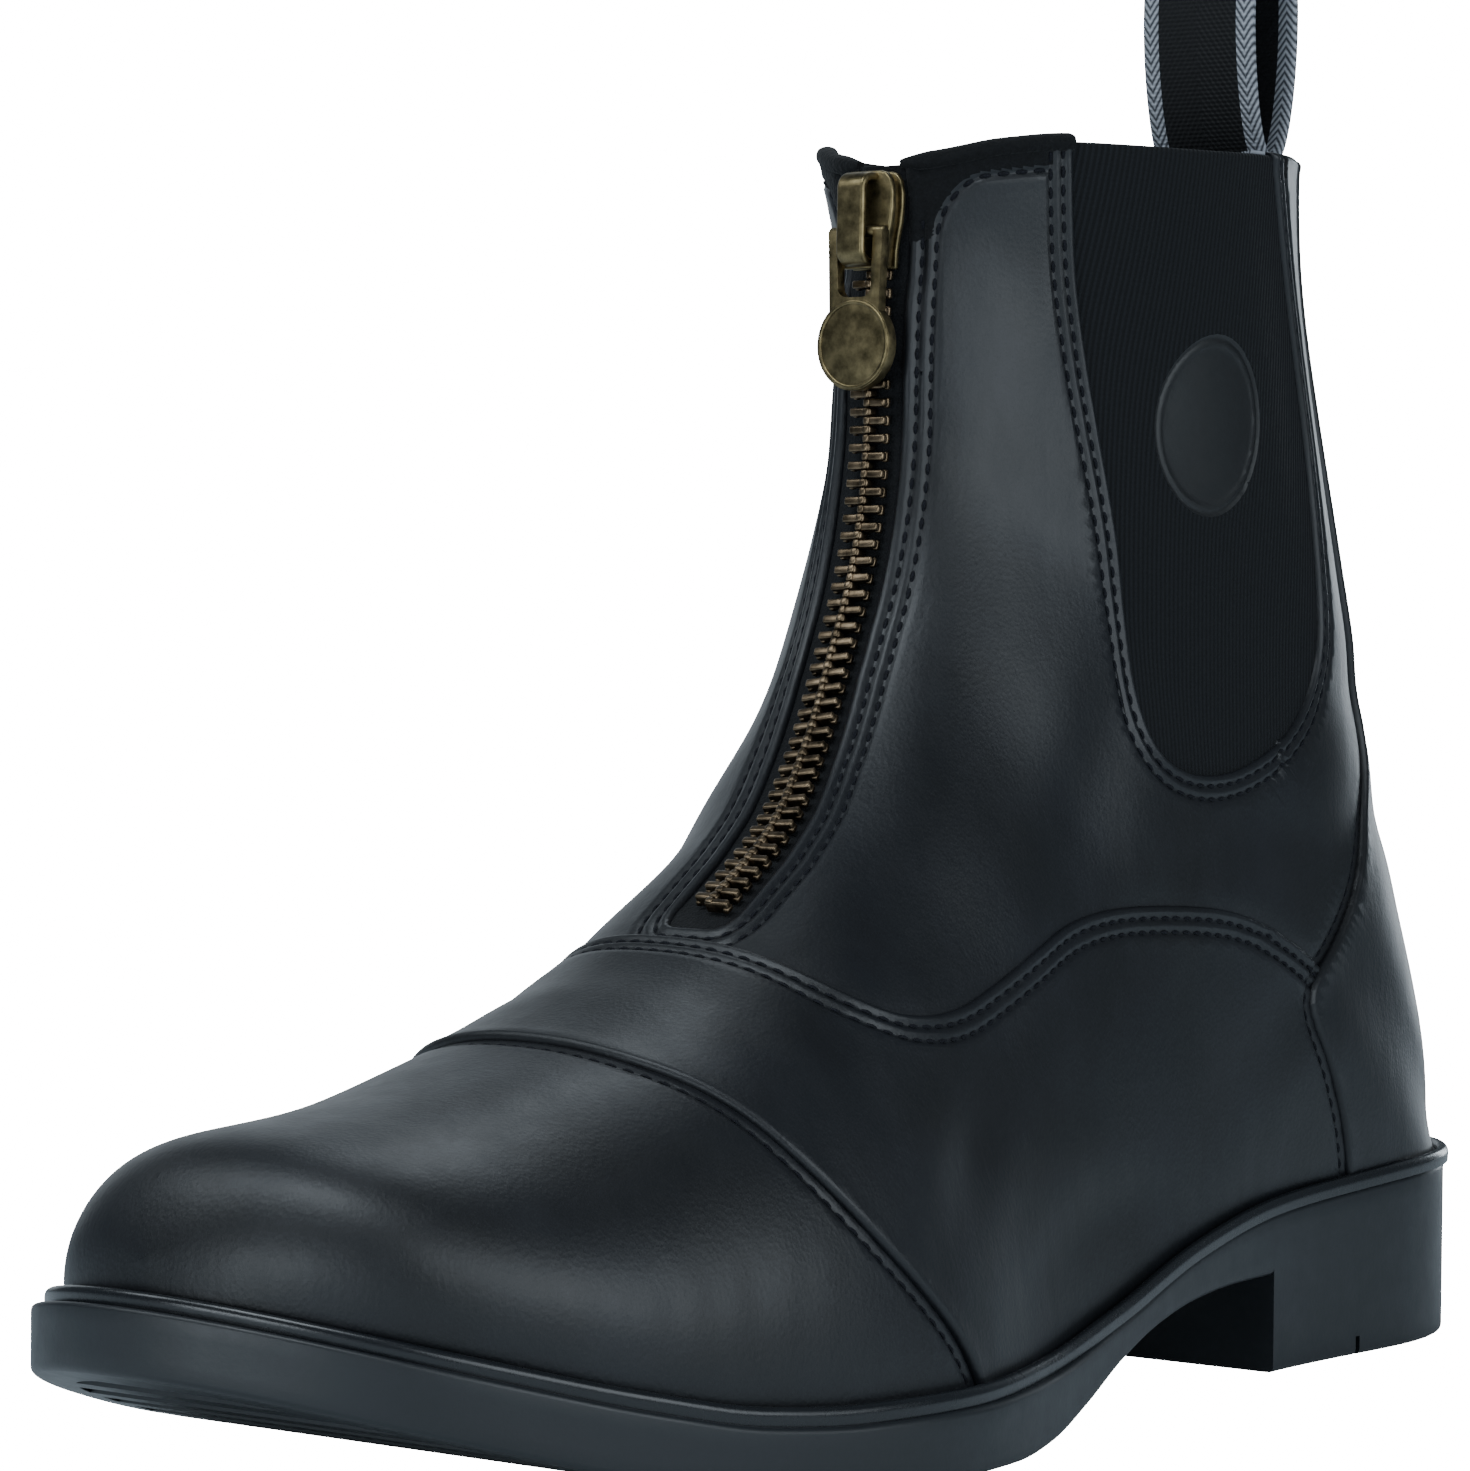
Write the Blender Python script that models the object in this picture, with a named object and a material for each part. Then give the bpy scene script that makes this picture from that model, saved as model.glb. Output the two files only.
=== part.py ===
"""Paddock boot for the left foot, standing empty on its sole.

The toe points to -Y, the outer (lateral) side faces +X and +Z is up. The origin lies on the floor under the
middle of the sole's length and width. Sizes are in metres. A height table holds shares of the sizes named there.
"""

import math

import bmesh
import bpy
import numpy as np
from mathutils import Matrix, Vector

MM = 0.001

# Sole unit
SOLE_LENGTH = 286 * MM
BALL_WIDTH = 104 * MM
FOREPART_THICKNESS = 9.2 * MM
HEEL_RISE = 19 * MM
TOE_SPRING = 18 * MM
HEEL_LENGTH = 75.5 * MM
TREAD_DEPTH = 1.5 * MM
TREAD_RIM = 6.0 * MM
TREAD_GROOVE = 4.5 * MM
TREAD_RIB = 4.0 * MM
HEEL_NOTCH_AT = 49 * MM
HEEL_NOTCH_WIDTH = 1.2 * MM
HEEL_NOTCH_DEPTH = 3.0 * MM

# Welt: a bead that runs round the top of the sole, set in from its edge along the forepart
WELT_WIDTH = 2.0 * MM
WELT_HEIGHT = 2.6 * MM
SHELF_WIDTH = 1.2 * MM
TOE_SHELF_EXTRA = 0.7 * MM
LIP_OUT = 0.7 * MM

# Upper: a lining wall with the leather panels on it, each wall measured from the inside
COLLAR_HEIGHT = 188 * MM
ANKLE_WIDTH = 66 * MM
CAP_WALL = 1.5 * MM
QUARTER_WALL = 1.9 * MM
VAMP_WALL = 2.3 * MM
BACK_WALL = 2.6 * MM
PANEL_LAP = 3.0 * MM
SEAT_GAP = 0.1 * MM
COLLAR_SPARE = 11.0 * MM
BASE_DROP = 0.4 * MM
SKIRT = 7.0 * MM
RIDGE_SIDE = 0.3

# Elastic gore, let into the cut-out between front quarter and back panel
GORE_THICKNESS = 1.4 * MM
CLEARANCE = 0.3 * MM

# Zip
ZIP_SLOT_WIDTH = 13 * MM
ZIP_END_RADIUS = 5 * MM
TAPE_THICKNESS = 0.8 * MM
CHAIN_WIDTH = 6.8 * MM
CHAIN_CORE = 1.6 * MM
CHAIN_HEIGHT = 1.8 * MM
TOOTH_PITCH = 2.7 * MM
SLIDER_LENGTH = 14.5 * MM
SLIDER_WIDTH = 10.4 * MM
SLIDER_HEIGHT = 3.4 * MM
CROWN_WIDTH = 5.0 * MM
CROWN_THICKNESS = 1.2 * MM
TAB_THICKNESS = 1.7 * MM
TAB_WIDTH = 10.2 * MM
TAB_REACH = 16.7 * MM
DISC_DIAMETER = 13.6 * MM
TAB_PLAY = 0.35 * MM

# Pull loop
WEBBING_WIDTH = 21.5 * MM
WEBBING_THICKNESS = 1.6 * MM
LOOP_HEIGHT = 40 * MM
LOOP_GAP = 12.5 * MM
LOOP_TAIL = 13 * MM

INSOLE_THICKNESS = 3.0 * MM


def monotone(xs, ys):
    """A smooth curve through a table that never overshoots its rows."""
    xs = np.asarray(xs, float)
    ys = np.asarray(ys, float)
    step = np.diff(xs)
    rise = np.diff(ys) / step
    slope = np.zeros(len(xs))
    same = rise[:-1] * rise[1:] > 0
    weight_a = 2 * step[1:] + step[:-1]
    weight_b = step[1:] + 2 * step[:-1]
    safe = np.where(same, rise[:-1] * rise[1:], 1.0)
    mean = (weight_a + weight_b) * safe / (weight_a * rise[1:] + weight_b * rise[:-1] + (~same))
    slope[1:-1] = np.where(same, mean, 0.0)
    slope[0] = rise[0]
    slope[-1] = rise[-1]

    def value(x):
        x = np.clip(np.asarray(x, float), xs[0], xs[-1])
        k = np.clip(np.searchsorted(xs, x) - 1, 0, len(xs) - 2)
        t = (x - xs[k]) / step[k]
        return (
            ys[k] * (1 + 2 * t) * (1 - t) ** 2
            + slope[k] * step[k] * t * (1 - t) ** 2
            + ys[k + 1] * t * t * (3 - 2 * t)
            + slope[k + 1] * step[k] * t * t * (t - 1)
        )

    return value


def natural(xs, ys):
    """A natural cubic spline through a table, for the curves where a highlight would show a kink."""
    xs = np.asarray(xs, float)
    ys = np.asarray(ys, float)
    step = np.diff(xs)
    count = len(xs)
    matrix = np.eye(count)
    right = np.zeros(count)
    for i in range(1, count - 1):
        matrix[i, i - 1 : i + 2] = step[i - 1], 2 * (step[i - 1] + step[i]), step[i]
        right[i] = 6 * ((ys[i + 1] - ys[i]) / step[i] - (ys[i] - ys[i - 1]) / step[i - 1])
    bend = np.linalg.solve(matrix, right)

    def value(x):
        x = np.asarray(x, float)
        k = np.clip(np.searchsorted(xs, x) - 1, 0, count - 2)
        a = (xs[k + 1] - x) / step[k]
        b = (x - xs[k]) / step[k]
        return a * ys[k] + b * ys[k + 1] + ((a**3 - a) * bend[k] + (b**3 - b) * bend[k + 1]) * step[k] ** 2 / 6

    return value


# Plan outline of the sole: station from heel to toe as a share of the length, and the reach to each side
# as a share of the ball width.
PLAN = [
    # station, lateral, medial
    (0.022, 0.172, 0.160),
    (0.085, 0.273, 0.278),
    (0.170, 0.296, 0.308),
    (0.265, 0.314, 0.310),
    (0.360, 0.362, 0.307),
    (0.460, 0.430, 0.328),
    (0.560, 0.512, 0.374),
    (0.660, 0.568, 0.417),
    (0.750, 0.543, 0.431),
    (0.840, 0.482, 0.414),
    (0.920, 0.367, 0.362),
    (0.972, 0.200, 0.272),
]
TOE_SIDE = -0.035
TOE_SIDE_FADE = 0.35

# Heights along the sole, as shares of HEEL_RISE and TOE_SPRING.
TOP_RISE = [(0.0, 1.0), (0.1, 0.965), (0.18, 0.900), (0.265, 0.810), (0.36, 0.605), (0.46, 0.275), (0.56, 0.050),
            (0.64, 0.0), (0.70, 0.0), (1.0, 0.0)]
WAIST_RISE = [(0.262, 0.800), (0.31, 0.795), (0.36, 0.755), (0.41, 0.650), (0.46, 0.470), (0.51, 0.235),
              (0.56, 0.055), (0.60, 0.0), (0.625, 0.0), (1.0, 0.0)]
TOE_RISE = [(0.0, 0.0), (0.72, 0.0), (0.78, 0.060), (0.84, 0.240), (0.92, 0.580), (1.0, 1.0)]

top_rise = monotone(*zip(*TOP_RISE))
waist_rise = monotone(*zip(*WAIST_RISE))
toe_rise = monotone(*zip(*TOE_RISE))


def plan_points(count=240):
    """The sole's outline as (x, u) from the toe round the lateral side, the heel and the medial side."""
    side = [(TOE_SIDE * BALL_WIDTH, SOLE_LENGTH)]
    side += [(row[1] * BALL_WIDTH, row[0] * SOLE_LENGTH) for row in reversed(PLAN)]
    side += [(0.0, 0.0)]
    side += [(-row[2] * BALL_WIDTH, row[0] * SOLE_LENGTH) for row in PLAN]
    loop = np.array(side + side[:3])
    loop = np.vstack([np.array(side)[-3:], loop])
    run = np.concatenate([[0], np.cumsum(np.hypot(*np.diff(loop, axis=0).T))])
    first, last = run[3], run[3 + len(side)]
    at = np.linspace(first, last, count, endpoint=False)
    return np.stack([natural(run, loop[:, 0])(at), natural(run, loop[:, 1])(at)], 1)


OUTLINE = plan_points()
MIDDLE_X = (OUTLINE[:, 0].max() + OUTLINE[:, 0].min()) / 2
TOE_INDEX = int(OUTLINE[:, 1].argmax())
HEEL_INDEX = int(OUTLINE[:, 1].argmin())


def offset_outline(inset):
    """The plan outline moved in by a distance that may change along the length."""
    ahead = np.roll(OUTLINE, -1, axis=0) - np.roll(OUTLINE, 1, axis=0)
    normal = np.stack([ahead[:, 1], -ahead[:, 0]], 1)
    normal /= np.hypot(*normal.T)[:, None]
    if (normal * (OUTLINE - OUTLINE.mean(0))).sum() > 0:
        normal = -normal
    return OUTLINE + normal * np.broadcast_to(inset, len(OUTLINE))[:, None]


def to_y(u):
    """Distance forward of the back of the heel, as a world Y."""
    return SOLE_LENGTH / 2 - u


def sole_top(u):
    station = np.asarray(u) / SOLE_LENGTH
    return FOREPART_THICKNESS + HEEL_RISE * top_rise(station) + TOE_SPRING * toe_rise(station)


def sole_bottom(u):
    station = np.asarray(u) / SOLE_LENGTH
    return HEEL_RISE * waist_rise(station) + TOE_SPRING * toe_rise(station)


forepart_share = monotone([0.0, 0.30, 0.44, 0.56, 1.0], [0.0, 0.0, 0.35, 1.0, 1.0])
toe_share = monotone([0.0, 0.70, 0.90, 1.0], [0.0, 0.0, 0.8, 1.0])


def shelf(u):
    """How far the sole's edge stands out past the welt. It is negative where the welt hangs over the heel."""
    station = np.asarray(u) / SOLE_LENGTH
    fore = forepart_share(station)
    return SHELF_WIDTH * fore + TOE_SHELF_EXTRA * toe_share(station) - LIP_OUT * (1 - fore)


def feather_line(side):
    """Where the upper meets the sole on one side: points (x, u) from the toe to the back of the heel."""
    line = offset_outline(shelf(OUTLINE[:, 1]) + WELT_WIDTH + CLEARANCE + VAMP_WALL)
    order = np.arange(len(line))
    if side > 0:
        picked = (TOE_INDEX + order)[: (HEEL_INDEX - TOE_INDEX) % len(line) + 1] % len(line)
    else:
        picked = (TOE_INDEX - order)[: (TOE_INDEX - HEEL_INDEX) % len(line) + 1] % len(line)
    return line[picked]


# Side profile of the upper, a row for each section, from the toe tip over the instep to the collar.
# Each section runs from the ridge, down both sides, to the base: along the feather line (0 at the toe to 1 at
# the back of the heel) and then up the back seam (1 to 2).
SECTIONS = [
    # ridge along, ridge high, base, half width, squareness front, squareness back
    (0.9765, 0.1720, 0.000, 0.000, 0.908, 0.900),
    (0.9690, 0.2030, 0.070, 0.000, 0.908, 0.900),
    (0.9510, 0.2380, 0.130, 0.000, 0.902, 0.900),
    (0.9150, 0.2520, 0.195, 0.000, 0.901, 0.900),
    (0.8580, 0.2640, 0.260, 0.000, 0.894, 0.900),
    (0.7860, 0.2910, 0.325, 0.000, 0.862, 0.900),
    (0.7040, 0.3330, 0.395, 0.000, 0.829, 0.900),
    (0.6270, 0.3980, 0.475, 0.000, 0.787, 0.883),
    (0.5610, 0.4740, 0.560, 0.352, 0.805, 0.847),
    (0.5160, 0.5570, 0.650, 0.393, 0.859, 0.814),
    (0.4880, 0.6380, 0.740, 0.422, 0.919, 0.786),
    (0.4750, 0.7120, 0.830, 0.432, 0.966, 0.768),
    (0.4710, 0.7770, 0.920, 0.427, 0.994, 0.763),
    (0.4710, 0.8310, 1.000, 0.417, 1.011, 0.774),
    (0.4700, 0.8770, 1.140, 0.402, 1.022, 0.804),
    (0.4680, 0.9160, 1.300, 0.395, 1.031, 0.843),
    (0.4680, 0.9510, 1.480, 0.400, 1.033, 0.886),
    (0.4710, 0.9840, 1.660, 0.413, 1.022, 0.932),
    (0.4720, 1.0170, 1.840, 0.434, 1.008, 0.968),
    (0.4700, 1.0490, 2.000, 0.454, 0.994, 1.001),
]
# Back seam in side view: height as a share of COLLAR_HEIGHT, and how far it leans forward of the sole's back edge
# as a share of SOLE_LENGTH.
BACK_LINE = [(0.120, -0.0005), (0.195, 0.0163), (0.295, 0.0403), (0.390, 0.0633), (0.510, 0.0860),
             (0.645, 0.1130), (0.785, 0.1384), (0.900, 0.1547), (1.060, 0.1623)]

rows = np.array(SECTIONS)
row_at = np.arange(len(rows), dtype=float)
ridge_along = natural(row_at, rows[:, 0])
ridge_high = natural(row_at, rows[:, 1])
base_at = monotone(row_at, rows[:, 2])
half_width = natural(row_at, rows[:, 3])
square_front = monotone(row_at, rows[:, 4])
square_back = monotone(row_at, rows[:, 5])
back_lean = natural(*zip(*BACK_LINE))
LAST_ROW = len(rows) - 1


def base_point(base, side):
    """The lower end of a section on one side, as x, u and z."""
    line = feather_line(side)
    run = np.concatenate([[0], np.cumsum(np.hypot(*np.diff(line, axis=0).T))])
    share = np.clip(base, 0, 1) * run[-1]
    x = np.interp(share, run, line[:, 0])
    u = np.interp(share, run, line[:, 1])
    z = sole_top(u) - BASE_DROP
    low = sole_top(line[-1, 1]) - BASE_DROP
    high = COLLAR_HEIGHT + COLLAR_SPARE
    up = np.clip(base - 1, 0, 1)
    z_back = low + (high - low) * up
    u_back = SOLE_LENGTH * back_lean(z_back / COLLAR_HEIGHT)
    gap = line[-1, 1] - SOLE_LENGTH * back_lean(low / COLLAR_HEIGHT)
    u_back = u_back + gap * np.exp(-((z_back - low) / (8 * MM)) ** 2)
    behind = base > 1
    return np.where(behind, 0.0, x), np.where(behind, u_back, u), np.where(behind, z_back, z)


def upper_points(row, across, offset=0.0):
    """Points of the last for rows (0 toe to LAST_ROW collar) and across (-1 medial to 1 lateral), moved out
    along the surface's normal by offset."""
    row, across = np.broadcast_arrays(np.asarray(row, float), np.asarray(across, float))

    def at(r, a):
        r = np.clip(r, 0, LAST_ROW)
        side = np.where(a >= 0, 1.0, -1.0)
        ends = [base_point(base_at(r), s) for s in (1, -1)]
        end_x, end_u, end_z = (np.where(side > 0, p, q) for p, q in zip(*ends))
        axis_x = TOE_SIDE * BALL_WIDTH * np.clip(1 - base_at(r) / TOE_SIDE_FADE, 0, 1) ** 2
        ridge_x = axis_x + RIDGE_SIDE * (ends[0][0] + ends[1][0] - 2 * axis_x)
        reach = side * (end_x - axis_x)
        half = half_width(r) * ANKLE_WIDTH
        widest = (np.abs(reach) ** 8 + np.clip(half, 0, None) ** 8) ** 0.125 + 1e-9
        power_low = square_back(r)
        power_top = square_front(r)
        last_angle = math.pi - np.arcsin(np.clip(np.abs(reach) / widest, 0, 1) ** (1 / power_low))
        angle = np.abs(a) * last_angle
        power = np.where(angle < math.pi / 2, power_top, power_low)
        sine = np.clip(np.sin(angle), 0, 1) ** power
        cosine = np.sign(np.cos(angle)) * np.abs(np.cos(angle)) ** power
        last_cosine = np.sign(np.cos(last_angle)) * np.abs(np.cos(last_angle)) ** power_low
        down = (1 - cosine) / (1 - last_cosine)
        centre = np.where(angle < math.pi / 2, ridge_x, axis_x)
        x = centre + (axis_x + side * widest - centre) * sine
        ridge_u = ridge_along(r) * SOLE_LENGTH
        ridge_z = ridge_high(r) * COLLAR_HEIGHT
        u = ridge_u + (end_u - ridge_u) * down
        z = ridge_z + (end_z - ridge_z) * down
        return np.stack([x - MIDDLE_X, to_y(u), z], -1)

    points = at(row, across)
    if not np.any(offset):
        return points
    small = 0.02
    low = np.clip(row, small, LAST_ROW - small)
    along = at(low + small, across) - at(low - small, across)
    inner = np.clip(across, -1 + small, 1 - small)
    round_it = at(low, inner + small) - at(low, inner - small)
    normal = np.cross(round_it, along)
    length = np.linalg.norm(normal, axis=-1, keepdims=True)
    normal = normal / np.maximum(length, 1e-12)
    return points + normal * np.asarray(offset)[..., None]


# Seams in side view: shares of SOLE_LENGTH forward of the heel and of COLLAR_HEIGHT above the floor.
CAP_SEAM = [
    # along, high
    (0.7600, 0.4000),
    (0.7620, 0.3140),
    (0.7640, 0.3050),
    (0.7517, 0.2797),
    (0.7273, 0.2319),
    (0.7098, 0.1968),
    (0.6853, 0.1564),
    (0.6524, 0.1096),
    (0.6283, 0.0628),
    (0.6150, -0.0400),
]
WAVE_SEAM = [
    # along, high
    (0.6750, 0.5000),
    (0.6660, 0.4100),
    (0.6625, 0.3850),
    (0.6514, 0.3590),
    (0.6353, 0.3324),
    (0.6028, 0.3181),
    (0.5657, 0.3223),
    (0.5196, 0.3447),
    (0.4570, 0.3777),
    (0.3983, 0.3894),
    (0.3462, 0.3883),
    (0.3007, 0.3803),
    (0.2329, 0.3436),
    (0.1400, 0.2700),
]
BACK_SEAM = [
    # along, high
    (0.2000, 1.1000),
    (0.1900, 0.9500),
    (0.1740, 0.8000),
    (0.1590, 0.6800),
    (0.1460, 0.5900),
    (0.1380, 0.5000),
    (0.1672, 0.4005),
    (0.2046, 0.3413),
    (0.2287, 0.3064),
    (0.2162, 0.2621),
    (0.1997, 0.2220),
    (0.1799, 0.1531),
    (0.1720, 0.0200),
]
GORE_EDGE = [
    # along, high: down the front edge, round the bottom and up the rear edge
    (0.4200, 1.0900),
    (0.4126, 0.9950),
    (0.3864, 0.7930),
    (0.3759, 0.6984),
    (0.3709, 0.6020),
    (0.3690, 0.5480),
    (0.3600, 0.5130),
    (0.3391, 0.4960),
    (0.3150, 0.4915),
    (0.2900, 0.4950),
    (0.2608, 0.5080),
    (0.2343, 0.5266),
    (0.2130, 0.5527),
    (0.2000, 0.5850),
    (0.1955, 0.6220),
    (0.1970, 0.6700),
    (0.2060, 0.7660),
    (0.2330, 0.8900),
    (0.2601, 1.0030),
    (0.2800, 1.0900),
]
# Collar line in side view.
COLLAR_LINE = [
    # along, high
    (0.1000, 1.0080),
    (0.2600, 1.0030),
    (0.3500, 0.9990),
    (0.4150, 0.9985),
    (0.4450, 0.9930),
    (0.4700, 0.9810),
    (0.5200, 0.9700),
]
# Centre of the zip in front view: share of COLLAR_HEIGHT, and share of ANKLE_WIDTH to the lateral side of the leg.
ZIP_LINE = [(0.380, 0.130), (0.430, 0.120), (0.505, 0.065), (0.600, 0.015), (0.700, 0.003), (0.850, 0.0),
            (1.100, 0.0)]
ZIP_LOW = 0.405
SLIDER_AT = 0.931
HINGE_AT = 0.921

zip_side = monotone(*zip(*ZIP_LINE))
collar_high = monotone(*zip(*COLLAR_LINE))
PIVOT_ROW = 13.0


def smooth_line(table, count, inset=0.0):
    """A smooth open curve through a side-view table, as world (y, z), moved by inset to its left."""
    points = np.array([(to_y(u * SOLE_LENGTH), z * COLLAR_HEIGHT) for u, z in table])
    run = np.concatenate([[0], np.cumsum(np.hypot(*np.diff(points, axis=0).T))])
    at = np.linspace(0, run[-1], count)
    curve = np.stack([natural(run, points[:, 0])(at), natural(run, points[:, 1])(at)], 1)
    ahead = np.gradient(curve, axis=0)
    left = np.stack([-ahead[:, 1], ahead[:, 0]], 1)
    return curve + inset * left / np.hypot(*left.T)[:, None]


def make_object(name, points, faces):
    """A mesh object with its doubled points joined and its faces turned out."""
    build = bmesh.new()
    made = [build.verts.new(point) for point in points]
    for face in faces:
        corners = []
        for index in face:
            if made[index] not in corners:
                corners.append(made[index])
        if len(corners) > 2:
            build.faces.new(corners)
    bmesh.ops.remove_doubles(build, verts=build.verts, dist=1e-7)
    bmesh.ops.dissolve_degenerate(build, edges=build.edges, dist=1e-8)
    bmesh.ops.recalc_face_normals(build, faces=build.faces)
    mesh = bpy.data.meshes.new(name)
    build.to_mesh(mesh)
    build.free()
    item = bpy.data.objects.new(name, mesh)
    bpy.context.scene.collection.objects.link(item)
    return item


def prism(name, outline, axis, low, high):
    """A closed prism: an outline of two coordinates, pushed along the third axis."""
    outline = np.asarray(outline)
    count = len(outline)
    points = np.zeros((2 * count, 3))
    others = [i for i in range(3) if i != axis]
    for half, value in enumerate((low, high)):
        points[half * count : (half + 1) * count, others] = outline
        points[half * count : (half + 1) * count, axis] = value
    faces = [list(range(count)), list(range(count, 2 * count))]
    faces += [[i, (i + 1) % count, (i + 1) % count + count, i + count] for i in range(count)]
    return make_object(name, points, faces)


def combine(target, other, operation):
    """Applies one Boolean to target and deletes the other object."""
    modifier = target.modifiers.new("Combine", "BOOLEAN")
    modifier.operation = operation
    modifier.solver = "EXACT"
    modifier.object = other
    graph = bpy.context.evaluated_depsgraph_get()
    mesh = bpy.data.meshes.new_from_object(target.evaluated_get(graph))
    target.modifiers.clear()
    target.data = mesh
    bpy.data.objects.remove(other, do_unlink=True)
    return target


def tidy(item, join=1.5e-5):
    """Joins the near-doubled points that Booleans leave and splits the large faces into triangles."""
    build = bmesh.new()
    build.from_mesh(item.data)
    bmesh.ops.remove_doubles(build, verts=build.verts, dist=join)
    bmesh.ops.dissolve_degenerate(build, edges=build.edges, dist=join)
    bmesh.ops.triangulate(build, faces=build.faces)
    bmesh.ops.recalc_face_normals(build, faces=build.faces)
    build.to_mesh(item.data)
    build.free()
    return item


# Grid of the boot's inside: coarser than the outside's. What lies on it uses the same grid.
INNER_GRID = (2.1, 23, 0.22)


def last_solid(name, offset, row_step=1.5, across_count=31, first_row=0.10):
    """The foot and leg inside the boot as a closed solid, moved out by offset, with a skirt below the sole's top."""
    row = np.concatenate([
        np.arange(first_row, 2.9, 0.17 * row_step),
        np.linspace(3.0, PIVOT_ROW, int(24 / row_step) + 1),
        np.linspace(PIVOT_ROW, LAST_ROW, int(12 / row_step) + 1)[1:],
    ])
    across = np.linspace(-1, 1, across_count)
    if callable(offset):
        offset = offset(row)[:, None]
    grid = upper_points(row[:, None], across[None, :], offset)
    pivot = int(np.argmin(abs(row - PIVOT_ROW)))
    grid[pivot:, -1] = grid[pivot:, 0] = (grid[pivot:, 0] + grid[pivot:, -1]) / 2
    count, width = grid.shape[:2]
    points = list(grid.reshape(-1, 3))

    def at(i, j):
        return i * width + (0 if i >= pivot and j == width - 1 else j)

    down = np.array([0, 0, SKIRT])
    skirt = []
    for i in range(pivot + 1):
        left = len(points)
        points.append(grid[i, 0] - down)
        if i < pivot:
            points.append(grid[i, -1] - down)
            skirt.append((left, left + 1))
        else:
            skirt.append((left, left))
    faces = []
    for i in range(count - 1):
        for j in range(width - 1):
            ring = [at(i, j), at(i, j + 1), at(i + 1, j + 1), at(i + 1, j)]
            turn = 1 if j >= width // 2 else 0
            one, two, three, four = ring[turn:] + ring[:turn]
            faces += [[one, two, three], [one, three, four]]
    for i in range(pivot):
        faces.append([at(i, 0), at(i + 1, 0), skirt[i + 1][0], skirt[i][0]])
        faces.append([at(i, width - 1), at(i + 1, width - 1), skirt[i + 1][1], skirt[i][1]])
        faces.append([skirt[i][0], skirt[i + 1][0], skirt[i + 1][1], skirt[i][1]])
    faces.append([skirt[0][0]] + [at(0, j) for j in range(width)] + [skirt[0][1]])
    faces.append([at(count - 1, j) for j in range(width - 1)])
    return make_object(name, points, faces)


def side_reach(line, side, u):
    """How far an outline reaches to one side at the stations u."""
    order = np.arange(len(line))
    tip = int(line[:, 1].argmax())
    back = int(line[:, 1].argmin())
    if side > 0:
        picked = (back - order)[: (back - tip) % len(line) + 1] % len(line)
    else:
        picked = (back + order)[: (tip - back) % len(line) + 1] % len(line)
    return np.interp(u, line[picked, 1], line[picked, 0])


def stations(line, count, start=None, end=None, stop=None):
    """Stations along an outline, closer together at its round ends. One of them falls on stop."""
    low = line[:, 1].min() if start is None else start
    high = line[:, 1].max() if end is None else end
    if stop is None:
        angle = np.linspace(0, math.pi, count)
    else:
        middle = math.acos(1 - 2 * (stop - low) / (high - low))
        first = max(3, int(round(count * middle / math.pi)))
        angle = np.concatenate([np.linspace(0, middle, first), np.linspace(middle, math.pi, count - first + 1)[1:]])
    return low + (high - low) * (1 - np.cos(angle)) / 2


def ladder_points(line, u, high):
    """Lateral and medial points of an outline at stations u and heights high, in world coordinates."""
    sides = []
    for side in (1, -1):
        x = side_reach(line, side, u) - MIDDLE_X
        sides.append(np.stack([x, to_y(u), np.broadcast_to(high, u.shape)], 1))
    return sides


def ladder_solid(name, levels, count=44, start=None, end=None):
    """A closed solid between two or more levels. Each level is an inset from the plan outline and a height
    function of the distance from the heel."""
    points = []
    rings = []
    for inset, high in levels:
        line = offset_outline(inset)
        u = stations(line, count, start, end)
        lateral, medial = ladder_points(line, u, high(u))
        rings.append(len(points))
        points += list(lateral) + list(medial)
    faces = []
    for base in rings[:1] + rings[-1:]:
        for i in range(count - 1):
            faces.append([base + i, base + i + 1, base + count + i + 1, base + count + i])
    for base, after in zip(rings, rings[1:]):
        for i in range(count - 1):
            faces.append([base + i, base + i + 1, after + i + 1, after + i])
            faces.append([base + count + i, base + count + i + 1, after + count + i + 1, after + count + i])
        for i in (0, count - 1):
            faces.append([base + i, base + count + i, after + count + i, after + i])
    return make_object(name, points, faces)


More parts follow.
